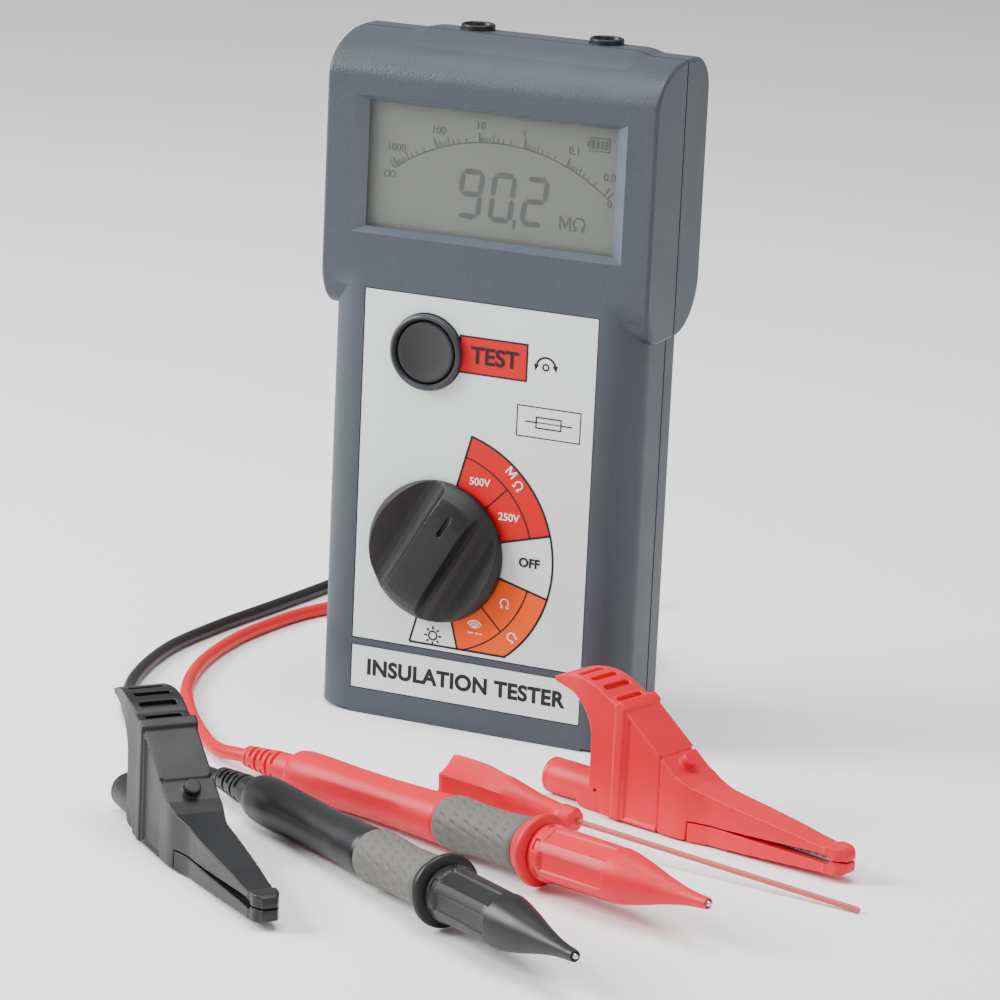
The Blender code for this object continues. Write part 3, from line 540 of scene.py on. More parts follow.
def coil_path(color):
    """Two layers of clockwise turns: inwards on the ground, up, and outwards on top."""
    x, y = COIL_AT[color]
    low, high = COIL_LAYERS
    start = LEAD_JOINS[color]
    sweep = (start - PLUG_LEAVES[color]) % (2 * math.pi) + COIL_TURNS * 2 * math.pi
    per_turn = 20
    count = round(sweep / (2 * math.pi) * per_turn)
    points = []
    for i in range(count + 1):
        turned = sweep * i / count
        inward = min(turned, sweep - turned) / (2 * math.pi)
        angle = start - turned
        radius = COIL_TURN - COIL_PITCH * inward
        rise = step(turned / (2 * math.pi), sweep / (4 * math.pi) - 0.30, sweep / (4 * math.pi) + 0.30)
        points.append(Vector((x + radius * math.cos(angle), y + radius * math.sin(angle),
                              low + (high - low) * rise)))
    return points


def lead_path(color):
    """The whole lead, from the strain relief to the plug."""
    x, y, turn = PROBE_LAY[color]
    behind = lay(x, y, PROBE_AXIS, turn, PROBE_SLOPE) @ Vector((0.0010, 0, 0))
    leaves = PLUG_LEAVES[color]
    heading = Vector((math.sin(leaves), -math.cos(leaves), 0))
    coil = coil_path(color)
    end = coil[-1]
    tail = [end + heading * (PLUG_RUN * k / 4) for k in range(1, 5)]
    tail[-1] = tail[-1] + heading * 0.0015
    return smooth_path([behind, *LEAD_ROUTE[color]], 0.0040) + coil + tail


def build_lead(color):
    points = lead_path(color)
    curve = bpy.data.curves.new(f"lead_{color}_jacket", "CURVE")
    curve.dimensions = "3D"
    curve.bevel_depth = LEAD_RADIUS
    curve.bevel_resolution = 5
    curve.use_fill_caps = True
    spline = curve.splines.new("POLY")
    spline.points.add(len(points) - 1)
    for point, co in zip(spline.points, points, strict=True):
        point.co = (*co, 1.0)
    spline.use_smooth = True
    jacket = bpy.data.objects.new(f"lead_{color}_jacket", curve)
    bpy.context.scene.collection.objects.link(jacket)
    curve.materials.append(JACKET[color])
    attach(jacket, ROOT)
    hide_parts(f"lead_{color}", f"lead_{color}_coil")
    plug, pin = build_plug(color)
    tie = build_tie(color)
    length = sum((b - a).length for a, b in zip(points, points[1:]))
    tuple(points[0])


def build_plug(color):
    """A shrouded plug with a ribbed finger grip, and its sprung pin."""
    x, y = COIL_AT[color]
    leaves = PLUG_LEAVES[color]
    place = lay(x + COIL_TURN * math.cos(leaves) + PLUG_RUN * math.sin(leaves),
                y + COIL_TURN * math.sin(leaves) - PLUG_RUN * math.cos(leaves),
                PLUG_AXIS, math.degrees(leaves) - 90) @ ALONG_X
    base = blended(mm([(0, 2.8), (6, 4), (8, 5.5), (15, 5.5), (16.8, 4.3), (34, 4.2)]), 0.0004)

    def shape(height, angle):
        ribs = 0.00028 * step(math.sin(height / 0.0013 * 2 * math.pi), -0.2, 0.4)
        inside = step(height, 0.0085, 0.0092) * (1 - step(height, 0.0140, 0.0147))
        relief = 0.00035 * step(math.cos(height / 0.0019 * 2 * math.pi), 0.0, 0.5)
        low = 1 - step(height, 0.0052, 0.0060)
        return base(height) - ribs * inside - relief * low * step(abs(math.cos(angle)), 0.2, 0.35)

    name = f"lead_{color}_plug_shroud"
    shroud = work(sculpted_mesh(name, 0.0, 0.0340, shape, 170, 48))
    boolean(shroud, rod_mesh("well", (0, 0, 0.0140), (0, 0, 0.0360), 0.0034, 40))
    plug = piece(name, smooth(finished(shroud)), PLASTIC[color], f"{color}_plastic", place,
                 replaces=(f"lead_{color}_plug",))
    profile = mm([(0, 32.6), (1, 32.5), (1.6, 32.1), (1.8, 31.4), (1.8, 30), (1.95, 29), (2, 26),
                  (1.95, 22.5), (1.8, 21.5), (1.8, 13), (0, 13)])
    return plug, turned_piece(f"lead_{color}_plug_pin", profile, 32, STEEL, "steel", place)


def build_tie(color):
    """A reusable strap round one side of the coil."""
    x, y = COIL_AT[color]
    angle = PLUG_LEAVES[color] - math.radians(75)
    middle = COIL_TURN - 0.0060
    place = Matrix.Translation((x + middle * math.cos(angle), y + middle * math.sin(angle), 0.0040)) \
        @ Matrix.Rotation(angle, 4, "Z") @ TOWARDS_FRONT
    outer = []
    corners = ((0.0052, 0.0012, 0.0030), (-0.0052, 0.0012, 0.0030), (-0.0052, -0.0010, 0.0029),
               (0.0052, -0.0010, 0.0029))
    for k, (u, v, rise) in enumerate(corners):
        outer += arc((u, v), (0.0032, rise), 90 * k, 90 * k + 90, 8)
    inner = [(u * 0.925, v * 0.86) for u, v in outer]
    name = f"lead_{color}_tie"
    mesh = extrusion_mesh(name, [outer, inner], 0.0030)
    return piece(name, smooth(mesh), TIE, "seal_black", place)


# ---- tester case
def head_outline(inset):
    """The head seen from the side, in (y, z)."""
    front, rear = FRONT_Y + inset, HEAD_REAR_Y - inset
    low, high = HEAD_BOTTOM + inset, HEAD_TOP - inset
    (front_y, front_z), (rear_y, rear_z) = HEAD_FRONT_ARC, HEAD_REAR_ARC
    return (arc(HEAD_FRONT_ARC, (front_y - front, high - front_z), 180, 90, 36)
            + arc(HEAD_REAR_ARC, (rear - rear_y, high - rear_z), 90, 0, 24)
            + arc((0.004, 0.131), (rear - 0.004, 0.131 - low), 0, -90, 28)
            + arc((-0.008, 0.128), (-0.008 - front, 0.128 - low), -90, -180, 24))


def body_outline(inset):
    """The body seen from above, in (x, y)."""
    half, front, rear = BODY_HALF_WIDTH - inset, FRONT_Y + inset, BODY_REAR_Y - inset
    flat, side_y, rear_round = FLAT_HALF_WIDTH, -0.0075, max(0.0025 - inset, 0.0003)
    right = (arc((flat, side_y), (half - flat, side_y - front), -90, 0, 28)
             + arc((half - rear_round, rear - rear_round), (rear_round, rear_round), 0, 90, 10))
    return right + [(-x, y) for x, y in reversed(right)]


def outer_solid(name, inset=0.0):
    """The case's whole outer form, head and body together, moved in by `inset`."""
    solid = work(extrusion_mesh(name, [head_outline(inset)], HEAD_HALF_WIDTH - inset), ALONG_X)
    bevelled(solid, 0.0011, 5, 60)
    body_half = (0.135 - BASE_STEP - inset) / 2
    up = Matrix.Translation((0, 0, BASE_STEP + inset + body_half))
    body = work(extrusion_mesh("body", [body_outline(inset)], body_half), up)
    bevelled(body, 0.0007, 3, 60)
    return boolean(solid, finished(body), "UNION", up)


def socket_hump():
    """The gentle rise of the top that carries the two sockets."""
    front, rear = (HEAD_FRONT_ARC, (0.021, 0.012)), (HEAD_REAR_ARC, (0.010, 0.010))
    loops = []
    for k in range(61):
        x = -0.0370 + 0.0800 * k / 60
        crest = 0.0014 * step(x, -0.0345, -0.0265) * (1 - step(x, 0.0335, 0.0405))
        outline = []
        for i in range(41):
            angle = 150 - 112 * i / 40
            rise = crest * (1 - step(angle, 100, 142)) * step(angle, 44, 76) - 0.0003
            a = math.radians(angle)
            (y, z), (out, up) = front if angle > 90 else rear
            outline.append((y + (out + rise) * math.cos(a), z + (up + rise) * math.sin(a)))
        outline += mm([(10, 183), (0, 183)])
        loops.append([(x, y, z) for y, z in outline])
    return loft_mesh("hump", loops)


def slab(y_low, y_high):
    """Everything between two depths, wider and taller than the tester."""
    return box_mesh("slab", (-0.06, y_low, -0.01), (0.06, y_high, 0.21))


def case_half(name, y_low, y_high):
    half = outer_solid(name)
    boolean(half, socket_hump(), "UNION", IDENTITY)
    pad = work(box_mesh("pad", (-FLAT_HALF_WIDTH, FRONT_Y + 0.0001, 0.0),
                        (FLAT_HALF_WIDTH, BODY_REAR_Y - 0.0001, 0.0040)))
    boolean(half, finished(bevelled(pad, 0.0003, 2, 60)), "UNION", IDENTITY)
    seam = outer_solid("seam", -0.0020)
    core = outer_solid("core", SEAM_DEPTH)
    place = core.matrix_world.copy()
    boolean(seam, finished(core), place=place)
    boolean(seam, slab(PARTING_Y - SEAM_HALF, PARTING_Y + SEAM_HALF), "INTERSECT", IDENTITY)
    place = seam.matrix_world.copy()
    boolean(half, finished(seam), place=place)
    boolean(half, extrusion_mesh("head_room", [head_outline(WALL)], HEAD_HALF_WIDTH - WALL),
            place=ALONG_X)
    room_low = BASE_STEP + WALL
    room_half = (0.132 - room_low) / 2
    boolean(half, extrusion_mesh("body_room", [body_outline(WALL)], room_half),
            place=Matrix.Translation((0, 0, room_low + room_half)))
    boolean(half, slab(y_low, y_high), "INTERSECT", IDENTITY)
    return half


def build_front_case():
    front = case_half("front_case_shell", -0.03, PARTING_Y - HALF_GAP)
    center, half = sum(WINDOW_Z) / 2, (WINDOW_Z[1] - WINDOW_Z[0]) / 2
    depth = WALL + 0.0012
    inner = (depth - 0.0006) / WALL
    window = box_mesh("window", (-WINDOW_HALF - 0.0020, -half - 0.0010, -depth / 2),
                      (WINDOW_HALF + 0.0020, half + 0.0010, depth / 2),
                      ((WINDOW_HALF - LCD_HALF) * inner + 0.0006, 0.0020 * inner))
    boolean(front, window, "DIFFERENCE",
            Matrix.Translation((0, FRONT_Y - 0.0006 + depth / 2, center)) @ ALONG_Y)
    for low, high in (LABEL_Z, PLATE_Z):
        boolean(front, box_mesh("recess", (-LABEL_HALF - FIT_GAP, FRONT_Y - 0.001, low - FIT_GAP),
                                (LABEL_HALF + FIT_GAP, FRONT_Y + 0.0008, high + FIT_GAP)),
                place=IDENTITY)
    for (x, z), radius in ((BUTTON_AT, 0.0101), (KNOB_AT, 0.0038)):
        boolean(front, rod_mesh("hole", (x, FRONT_Y - 0.004, z), (x, FRONT_Y + 0.006, z), radius),
                place=IDENTITY)
    place = front.matrix_world.copy()
    shell = piece("front_case_shell", smooth(finished(front), CASE_CREASE), CASE, "case_grey", place,
                  replaces=("front_case",))
    # The window bevel's faces get the lighter grey, a painted highlight on the same grey plastic.
    shell.data.materials.append(CASE_GLOSS_AND_PAINTED_HIGHLIGHT)
    for face in shell.data.polygons:
        spot, facing = place @ face.center, place.to_3x3() @ face.normal
        inside = abs(spot.x) < WINDOW_HALF + 0.001 and abs(spot.z - center) < half + 0.001
        if inside and 0.3 < -facing.y < 0.95 and FRONT_Y - 0.0001 < spot.y < FRONT_Y + WALL:
            face.material_index = 1
    weighted(shell)


def build_rear_case():
    rear = case_half("rear_case_shell", PARTING_Y + HALF_GAP, 0.03)
    for x in SOCKET_X:
        boolean(rear, rod_mesh("socket", (x, SOCKET_Y, 0.186), (x, SOCKET_Y, 0.200), 0.00505),
                place=IDENTITY)
    for x in (-SCREW_X, SCREW_X):
        boolean(rear, rod_mesh("recess", (x, 0.0166, SCREW_Z), (x, 0.022, SCREW_Z), 0.0030),
                place=IDENTITY)
    low, high = COVER_Z
    boolean(rear, box_mesh("opening", (-COVER_HALF - FIT_GAP, BODY_REAR_Y - 0.004, low - FIT_GAP),
                           (COVER_HALF + FIT_GAP, BODY_REAR_Y + 0.002, high + FIT_GAP)),
            place=IDENTITY)
    boolean(rear, box_mesh("tab", (-0.006, 0.0066, high - 0.0052), (0.006, 0.0091, high + 0.0040)),
            "UNION", IDENTITY)
    for x in (-0.0250, 0.0250):
        for k in range(6):
            z = 0.1300 + 0.0042 * k
            groove = box_mesh("groove", (x - 0.0110, HEAD_REAR_Y - 0.0005, z - 0.0006),
                              (x + 0.0110, HEAD_REAR_Y + 0.001, z + 0.0006))
            boolean(rear, groove, place=IDENTITY)
    place = rear.matrix_world.copy()
    weighted(piece("rear_case_shell", smooth(finished(rear), CASE_CREASE), CASE, "case_grey", place,
                   replaces=("rear_case",)))


def build_cover():
    cover = work(box_mesh("battery_cover_panel", (-COVER_HALF, BODY_REAR_Y - 0.0021, COVER_Z[0]),
                          (COVER_HALF, BODY_REAR_Y, COVER_Z[1])))
    bevelled(cover, 0.0005, 3, 60)
    z = COVER_Z[1] - 0.0030
    boolean(cover, rod_mesh("bore", (0, 0.0080, z), (0, 0.0130, z), 0.0014))
    boolean(cover, rod_mesh("recess", (0, 0.0104, z), (0, 0.0130, z), 0.0026))
    for k in range(5):
        low = 0.0140 + 0.0030 * k
        boolean(cover, box_mesh("groove", (-0.014, BODY_REAR_Y - 0.0005, low),
                                (0.014, BODY_REAR_Y + 0.001, low + 0.0013)))
    weighted(piece("battery_cover_panel", smooth(finished(cover), CASE_CREASE), CASE, "case_grey",
                   body="battery_cover", replaces=("battery_cover",)))


# ---- display
def printed(name, shapes, face_y, mat, slot="label_grey"):
    """Thin printed shapes in one piece; each is an (x, z) outline or a list with its holes."""
    bm = bmesh.new()
    for shape in shapes:
        outlines = [shape] if isinstance(shape[0][0], float) else shape
        mesh = extrusion_mesh("shape", outlines, PRINT_HALF)
        bm.from_mesh(mesh)
        bpy.data.meshes.remove(mesh)
    place = Matrix.Translation((0, face_y, 0)) @ TOWARDS_FRONT
    piece(name, bmesh_to_mesh(name, bm), mat, slot, place)


def text(name, words, at, size, face_y, mat, spacing=1.0, bold=0.0):
    """Printed words centred on an (x, z) spot."""
    curve = bpy.data.curves.new(name, "FONT")
    curve.body = words
    curve.size = size
    curve.align_x = "CENTER"
    curve.align_y = "CENTER"
    curve.extrude = PRINT_HALF
    curve.offset = bold
    curve.space_character = spacing
    obj = bpy.data.objects.new(name, curve)
    obj.matrix_world = Matrix.Translation((at[0], face_y, at[1])) @ TOWARDS_FRONT
    bpy.context.scene.collection.objects.link(obj)
    curve.materials.append(mat)
    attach(obj, ROOT)


def rectangle(x0, z0, x1, z1):
    return [(x0, z0), (x1, z0), (x1, z1), (x0, z1)]


def rectangle_line(x0, z0, x1, z1, line):
    """A rectangle, and the same moved in by the line's width as its hole."""
    return [rectangle(x0, z0, x1, z1), rectangle(x0 + line, z0 + line, x1 - line, z1 - line)]


def ring_line(center, outer, inner):
    """A circle, and a smaller one as its hole."""
    return [arc(center, (radius, radius), 0, 345, 23) for radius in (outer, inner)]


def bar(a, b, width):
    """A straight stroke between two (x, z) points."""
    dx, dz = b[0] - a[0], b[1] - a[1]
    length = math.hypot(dx, dz)
    nx, nz = -dz / length * width / 2, dx / length * width / 2
    return [(a[0] + nx, a[1] + nz), (a[0] - nx, a[1] - nz), (b[0] - nx, b[1] - nz), (b[0] + nx, b[1] + nz)]


def band(center, radius, width, start, end, steps=40):
    """A curved stroke along a circle, angles in degrees."""
    outer = arc(center, (radius + width / 2, radius + width / 2), start, end, steps)
    inner = arc(center, (radius - width / 2, radius - width / 2), end, start, steps)
    return outer + inner


def ohm(center, size, stroke):
    """An ohm sign: an open ring on two feet."""
    x, z = center
    r = size * 0.42
    ring_center = (x, z + size * 0.08)
    shapes = [band(ring_center, r, stroke, -52, 232, 28)]
    for side in (-1, 1):
        shapes.append(bar((x + side * r * 0.42, z - size * 0.40), (x + side * r * 1.15, z - size * 0.40),
                          stroke))
        shapes.append(bar((x + side * r * 0.50, z - size * 0.40), (x + side * r * 0.62, z - size * 0.22),
                          stroke))
    return shapes


def turned_shapes(shapes, center, angle):
    """Outlines turned about a point, the angle in degrees."""
    c, s = math.cos(math.radians(angle)), math.sin(math.radians(angle))
    result = []
    for outline in shapes:
        result.append([(center[0] + (u - center[0]) * c - (v - center[1]) * s,
                        center[1] + (u - center[0]) * s + (v - center[1]) * c) for u, v in outline])
    return result


SEGMENTS = {"9": "abcdfg", "0": "abcdef", "2": "abdeg"}


def digit(character, x, z):
    """A seven-segment digit, each segment a bar with pointed ends."""
    gap, half, slant = 0.00010, 0.0008, 0.10
    left, right, low, high, middle = 0.0, 0.0058, 0.0, 0.0124, 0.0062
    runs = {"a": (left, high, right, high), "b": (right, high, right, middle),
            "c": (right, middle, right, low), "d": (left, low, right, low),
            "e": (left, middle, left, low), "f": (left, high, left, middle),
            "g": (left, middle, right, middle)}
    shapes = []
    for key in SEGMENTS[character]:
        x0, z0, x1, z1 = runs[key]
        length = math.hypot(x1 - x0, z1 - z0)
        dx, dz = (x1 - x0) / length, (z1 - z0) / length
        nx, nz = -dz, dx
        outline = []
        for along, across in ((gap, 0), (half + gap, half), (length - half - gap, half),
                              (length - gap, 0), (length - half - gap, -half), (half + gap, -half)):
            u = x0 + dx * along + nx * across
            v = z0 + dz * along + nz * across
            outline.append((x + u + slant * v, z + v))
        shapes.append(outline)
    return shapes


def letter_m(x, z, width, height, stroke):
    """A capital M in one outline, from its lower left corner."""
    points = [(0, 0), (0, height), (stroke * 1.3, height), (width / 2, height * 0.42),
              (width - stroke * 1.3, height), (width, height), (width, 0), (width - stroke, 0),
              (width - stroke, height * 0.72), (width / 2 + stroke * 0.4, height * 0.14),
              (width / 2 - stroke * 0.4, height * 0.14), (stroke, height * 0.72), (stroke, 0)]
    return [(x + u, z + v) for u, v in points]


def build_display():
    center, radius = (0.0012, 0.1139), 0.0521
    decade, first = 14.5, -35.2
    left_end, right_end, zero = -36.4, 39.0, first + 5 * decade + 1.5

    def on_scale(angle, reach=0.0):
        a = math.radians(90 - angle)
        return (center[0] + (radius + reach) * math.cos(a), center[1] + (radius + reach) * math.sin(a))

    def shown(name, outlines):
        printed(name, outlines, DISPLAY_FACE, SEGMENT, "lcd_glass")

    def mark(name, words, x, z):
        text(name, words, (x, z), 0.0029, DISPLAY_FACE, SEGMENT, bold=0.00009)

    shapes = [band(center, radius, 0.00042, 90 - left_end, 90 - right_end, 90)]
    for k in range(5):
        start = first + decade * k
        shapes.append(bar(on_scale(start), on_scale(start, 0.0027), 0.00060))
        for value in range(2, 10):
            angle = start + decade * math.log10(10 / value)
            tall = 0.0023 if value == 5 else 0.0014
            shapes.append(bar(on_scale(angle), on_scale(angle, tall), 0.00040))
    for angle in (left_end, first + 5 * decade, zero):
        shapes.append(bar(on_scale(angle), on_scale(angle, 0.0027), 0.00045))
    shown("display_scale", shapes)
    marks = (("1000", 0, -0.0006, 0.0050), ("100", 1, 0.0003, 0.0050), ("10", 2, 0.0, 0.0045),
             ("1", 3, 0.0, 0.0042), ("0.1", 4, 0.0022, 0.0045), ("0.01", 5, 0.0021, 0.0050))
    for words, k, right, above in marks:
        x, z = on_scale(first + decade * k)
        mark(f"display_mark_{k}", words, x + right, z + above)
    x, z = on_scale(zero)
    mark("display_mark_zero", "0", x + 0.0006, z - 0.0014)
    x, z = on_scale(left_end)
    shown("display_endless", [band((x - left, z - 0.0018), 0.00085, 0.00042, 0, 359, 20)
                              for left in (0.0022, 0.0005)])
    low = 0.1450
    digits = digit("9", -0.0102, low) + digit("0", -0.0006, low) + digit("2", 0.0090, low)
    digits.append(mm([(6.2, 145.6), (7.4, 145.6), (6.9, 143), (6.1, 143)]))
    shown("display_digits", digits)
    shown("display_unit", [letter_m(0.0200, 0.1445, 0.0036, 0.0038, 0.00062)]
          + ohm((0.0259, 0.1464), 0.0038, 0.00060))
    x, z = 0.0309, 0.1690
    outline = rectangle_line(x - 0.0031, z - 0.0020, x + 0.0031, z + 0.0020, 0.0004)
    bars = [bar((x - 0.0020 + 0.00133 * k, z - 0.0012), (x - 0.0020 + 0.00133 * k, z + 0.0012), 0.0010)
            for k in range(4)]
    bars.append(bar((x - 0.0035, z - 0.0008), (x - 0.0035, z + 0.0008), 0.0006))
    shown("display_battery", [outline] + bars)
    finish_nodes(GLASS_FRONT, "lcd_module")
    finish_nodes(WINDOW, "display_window")


# ---- printed dial
DIAL_BOTTOM = -0.0274  # the dial is cut straight this far below the knob's centre


def dial_point(radius, angle):
    a = math.radians(angle)
    return (KNOB_AT[0] + radius * math.cos(a), KNOB_AT[1] + radius * math.sin(a))


def dial_arc(radius, start, end, steps):
    return [dial_point(radius, start + (end - start) * i / steps) for i in range(steps + 1)]


def build_dial():
    ink, top, words = PRINT_LAYERS
    inner, ring, outer = 0.0198, 0.0288, 0.0350
    cut_outer = math.degrees(math.asin(DIAL_BOTTOM / outer))
    cut_ring = math.degrees(math.asin(DIAL_BOTTOM / ring))
    red = dial_arc(outer, 75, 15, 30) + dial_arc(inner, 15, 75, 30)
    printed("dial_red", [red], ink, INK_RED)
    orange = (dial_arc(outer, -15, cut_outer, 20) + dial_arc(ring, cut_ring, -75, 4)
              + dial_arc(inner, -75, -15, 20))
    printed("dial_orange", [orange], ink, INK_ORANGE)
    bottom = KNOB_AT[1] + DIAL_BOTTOM
    left = (KNOB_AT[0] + DIAL_BOTTOM / math.tan(math.radians(75)), bottom)
    light = dial_arc(inner, -75, -105, 10) + [left, dial_point(ring, -75)]
    printed("dial_light_sector", [light], ink, LABEL)
    thick, thin = 0.00062, 0.00042
    lines = [band(KNOB_AT, outer, thick, 75.4, cut_outer - 0.3, 90),
             bar(dial_point(outer, cut_outer), left, thick),
             bar(left, dial_point(inner, -105), thick)]
    for angle in (75, 15, -15):
        lines.append(bar(dial_point(inner, angle), dial_point(outer, angle), thick))
    lines.append(bar(dial_point(inner, -75), dial_point(ring - 0.0004, -75), thick))
    for angle in (45, -45):
        lines.append(bar(dial_point(inner, angle), dial_point(ring, angle), thin))
    lines.append(band(KNOB_AT, ring, thin, 75, 15, 40))
    lines.append(band(KNOB_AT, ring, thin, -15, cut_ring, 40))
    printed("dial_lines", lines, top, INK)

    text("dial_500", "500V", dial_point(0.0244, 60.5), 0.0030, words, INK_LIGHT, bold=0.00004)
    text("dial_250", "250V", dial_point(0.0246, 30.5), 0.0030, words, INK_LIGHT, bold=0.00004)
    text("dial_off", "OFF", dial_point(0.0280, 0.8), 0.0036, words, INK, bold=0.00012)
    at = dial_point(0.0320, 52.5)
    light_signs = turned_shapes([letter_m(*at, 0.0028, 0.0026, 0.00042)], at, -43)
    at = dial_point(0.0321, 42.8)
    light_signs += turned_shapes(ohm(at, 0.0027, 0.00038), at, -47)
    light_signs += ohm(dial_point(0.0244, -30), 0.0028, 0.00036)
    at = dial_point(0.0321, -42)
    light_signs += turned_shapes(ohm(at, 0.0028, 0.00036), at, 48)
    x, z = dial_point(0.0240, -59)
    for radius, width, start, steps in ((0.0007, 0.0007, 20, 12), (0.0016, 0.0004, 25, 14),
                                        (0.0024, 0.0004, 30, 16)):
        light_signs.append(band((x, z - 0.0002), radius, width, start, 180 - start, steps))
    for start, end in ((-0.0019, -0.0003), (0.0004, 0.0012), (0.0016, 0.0024)):
        light_signs.append(bar((x + start, z - 0.0014), (x + end, z - 0.0014), 0.00036))
    printed("dial_signs_light", light_signs, words, INK_LIGHT)
    sun = (-0.0102, 0.0262)
    signs = [ring_line(sun, 0.00145, 0.00100)]
    for k in range(8):
        a = math.radians(45 * k)
        signs.append(bar((sun[0] + 0.00175 * math.cos(a), sun[1] + 0.00175 * math.sin(a)),
                         (sun[0] + 0.00265 * math.cos(a), sun[1] + 0.00265 * math.sin(a)), 0.00050))
    printed("dial_signs_dark", signs, words, INK)


def build_label_print():
    ink, top, words = PRINT_LAYERS
    tab = (-0.0060, 0.1022, 0.0147, 0.1129)
    printed("tab_red", [rectangle(*tab)], ink, INK_RED)
    printed("tab_outline", [rectangle_line(*tab, 0.0005)], top, INK)
    text("tab_word", "TEST", (0.0048, 0.10745), 0.0066, words, INK, bold=0.00016)
    x, z = 0.0201, 0.1070
    lock = [ring_line((x, z), 0.0011, 0.0006), band((x, z - 0.0002), 0.0029, 0.0006, 18, 162, 24)]
    for side in (-1, 1):
        lock.append([(x + side * 0.0020, z + 0.0006), (x + side * 0.0036, z + 0.0008),
                     (x + side * 0.0031, z - 0.0012)])
    printed("twist_sign", lock, ink, INK)
    left, right, bottom, upper = 0.0121, 0.0313, 0.0869, 0.0958
    z = (bottom + upper) / 2
    fuse = [rectangle_line(left, bottom, right, upper, 0.00035),
            rectangle_line(0.0178, z - 0.0017, 0.0256, z + 0.0017, 0.0004),
            bar((0.0146, z), (0.0180, z), 0.0004),
            bar((0.0180, z + 0.00005), (0.0254, z + 0.00005), 0.0003),
            bar((0.0254, z), (0.0288, z), 0.0004)]
    printed("fuse_sign", fuse, ink, INK)
    text("plate_words", "INSULATION TESTER", (0.0, (PLATE_Z[0] + PLATE_Z[1]) / 2), 0.0062, ink, INK,
         spacing=1.05, bold=0.00026)
    finish_nodes(LABEL, "front_label", "name_plate")


# ---- button and knob
def panel_place(at):
    return Matrix.Translation((at[0], FRONT_Y, at[1])) @ TOWARDS_FRONT


def build_button():
    place = panel_place(BUTTON_AT)
    rim = mm([(9.1, 1.2), (9.4, 1.7)]) + arc((0.0098, 0.0010), (0.0009, 0.0011), 100, 0, 12)
    rim += mm([(10.7, -0.5), (9.8, -0.5), (9.8, -4.8), (9, -4.8), (9, 0.8)])
    turned_piece("bezel_ring", rim, 96, BEZEL, "case_grey", place, ring=True,
                 replaces=("button_bezel",))
    steps = 12
    dish = [(0.0087 * k / steps * 0.86, 0.0002 + 0.0010 * (k / steps) ** 2) for k in range(steps + 1)]
    cap = dish + arc((0.0079, 0.0005), (0.0008, 0.0008), 80, 0, 8)
    cap += mm([(8.7, -2.5), (0, -2.5)])
    turned_piece("test_button_cap", cap, 96, BUTTON, "black_plastic", place, body="test_button",
                 replaces=("test_button",))
    finish_nodes(BLACK, "button_stem")
    finish_nodes(STEEL, "button_spring")


def build_knob():
    place = panel_place(KNOB_AT) @ Matrix.Rotation(KNOB_ANGLE, 4, "Z")
    dome = mm([(0, 8.5), (9, 8.4), (12.5, 8.1), (15, 7.4), (17, 6.2), (18.5, 4.6), (19.5, 3.2),
               (20.1, 2.2), (20.3, 1.4), (20.3, 0.7), (20, 0.3), (0, 0.3)])
    knob = work(turned_mesh("range_knob_grip", dome, 144))
    flank = mm([(5.3, 11), (5.3, 7.8), (5.6, 6), (6.2, 4.2), (7.2, 2.8), (8.6, 2), (10.2, 1.7),
                (12, 1.9), (14, 2.6), (15.8, 3.5), (17.4, 4.5), (19, 5.7), (23, 9), (23, 11)])
    for side in (-1, 1):
        outline = [(side * u, v) for u, v in flank]
        scoop = extrusion_mesh("scoop", [outline], 0.0230)
        scoop.transform(ALONG_X)
        boolean(knob, scoop)
    slit = box_mesh("slit", (0.0074, -0.00058, 0.0073), (0.0142, 0.00058, 0.0100))
    boolean(knob, slit)
    soften(knob, 0.00022, 6, 0.5)
    boolean(knob, rod_mesh("bore", (0, 0, -0.002), (0, 0, 0.0034), 0.0033))
    knob.data.shade_smooth()
    knob.data.set_sharp_from_angle(angle=math.radians(60))
    piece("range_knob_grip", finished(knob), KNOB, "black_plastic", place, "range_knob",
          ("range_knob",))
    finish_nodes(STEEL, "range_shaft")


# ---- sockets, inside
def build_sockets():
    for side, x in zip(("left", "right"), SOCKET_X, strict=True):
        place = Matrix.Translation((x, SOCKET_Y, 0))
        collar = mm([(3.9, 194.1), (4.1, 194.5)]) + arc((0.0043, 0.1941), (0.00045, 0.0005), 90, 0, 8)
        collar += mm([(4.75, 187), (6.2, 187), (6.2, 184.5), (4.75, 184.5), (4.75, 176), (3.9, 176)])
        turned_piece(f"socket_ring_{side}", collar, 64, BLACK, "black_plastic", place, ring=True,
                     replaces=(f"socket_collar_{side}",))
        finish_nodes(BRASS, f"socket_contact_{side}")


def build_screw(node, spot, rim, shank, body=ROOT):
    """A pan-head screw with a cross recess; `rim` and `shank` are its outlines from the head down."""
    head = [(0.0, 0.0)] + arc((rim[0] - 0.0006, -0.0006), (0.0006, 0.0006), 90, 0, 8) + [rim]
    screw = work(turned_mesh(f"{node}_pan", head + shank, 64))
    for x, y in ((0.0015, 0.00032), (0.00032, 0.0015)):
        boolean(screw, box_mesh("cross", (-x, -y, -0.0008), (x, y, 0.001)))
    bevelled(screw, 0.00006, 2, 50)
    piece(f"{node}_pan", smooth(finished(screw)), STEEL, "steel",
          Matrix.Translation(spot) @ ALONG_Y, body, (node,))


def build_screws():
    for number, side in ((1, -1), (2, 1)):
        build_screw(f"case_screw_{number}", (side * SCREW_X, 0.0188, SCREW_Z), (0.0026, -0.0018),
                    mm([(1.3, -1.8), (1.3, -24), (0, -25)]))
    build_screw("cover_screw", (0, BODY_REAR_Y - 0.0001, COVER_Z[1] - 0.0030), (0.0023, -0.0007),
                mm([(1.1, -0.7), (1.1, -6), (0, -6.5)]), "battery_cover")


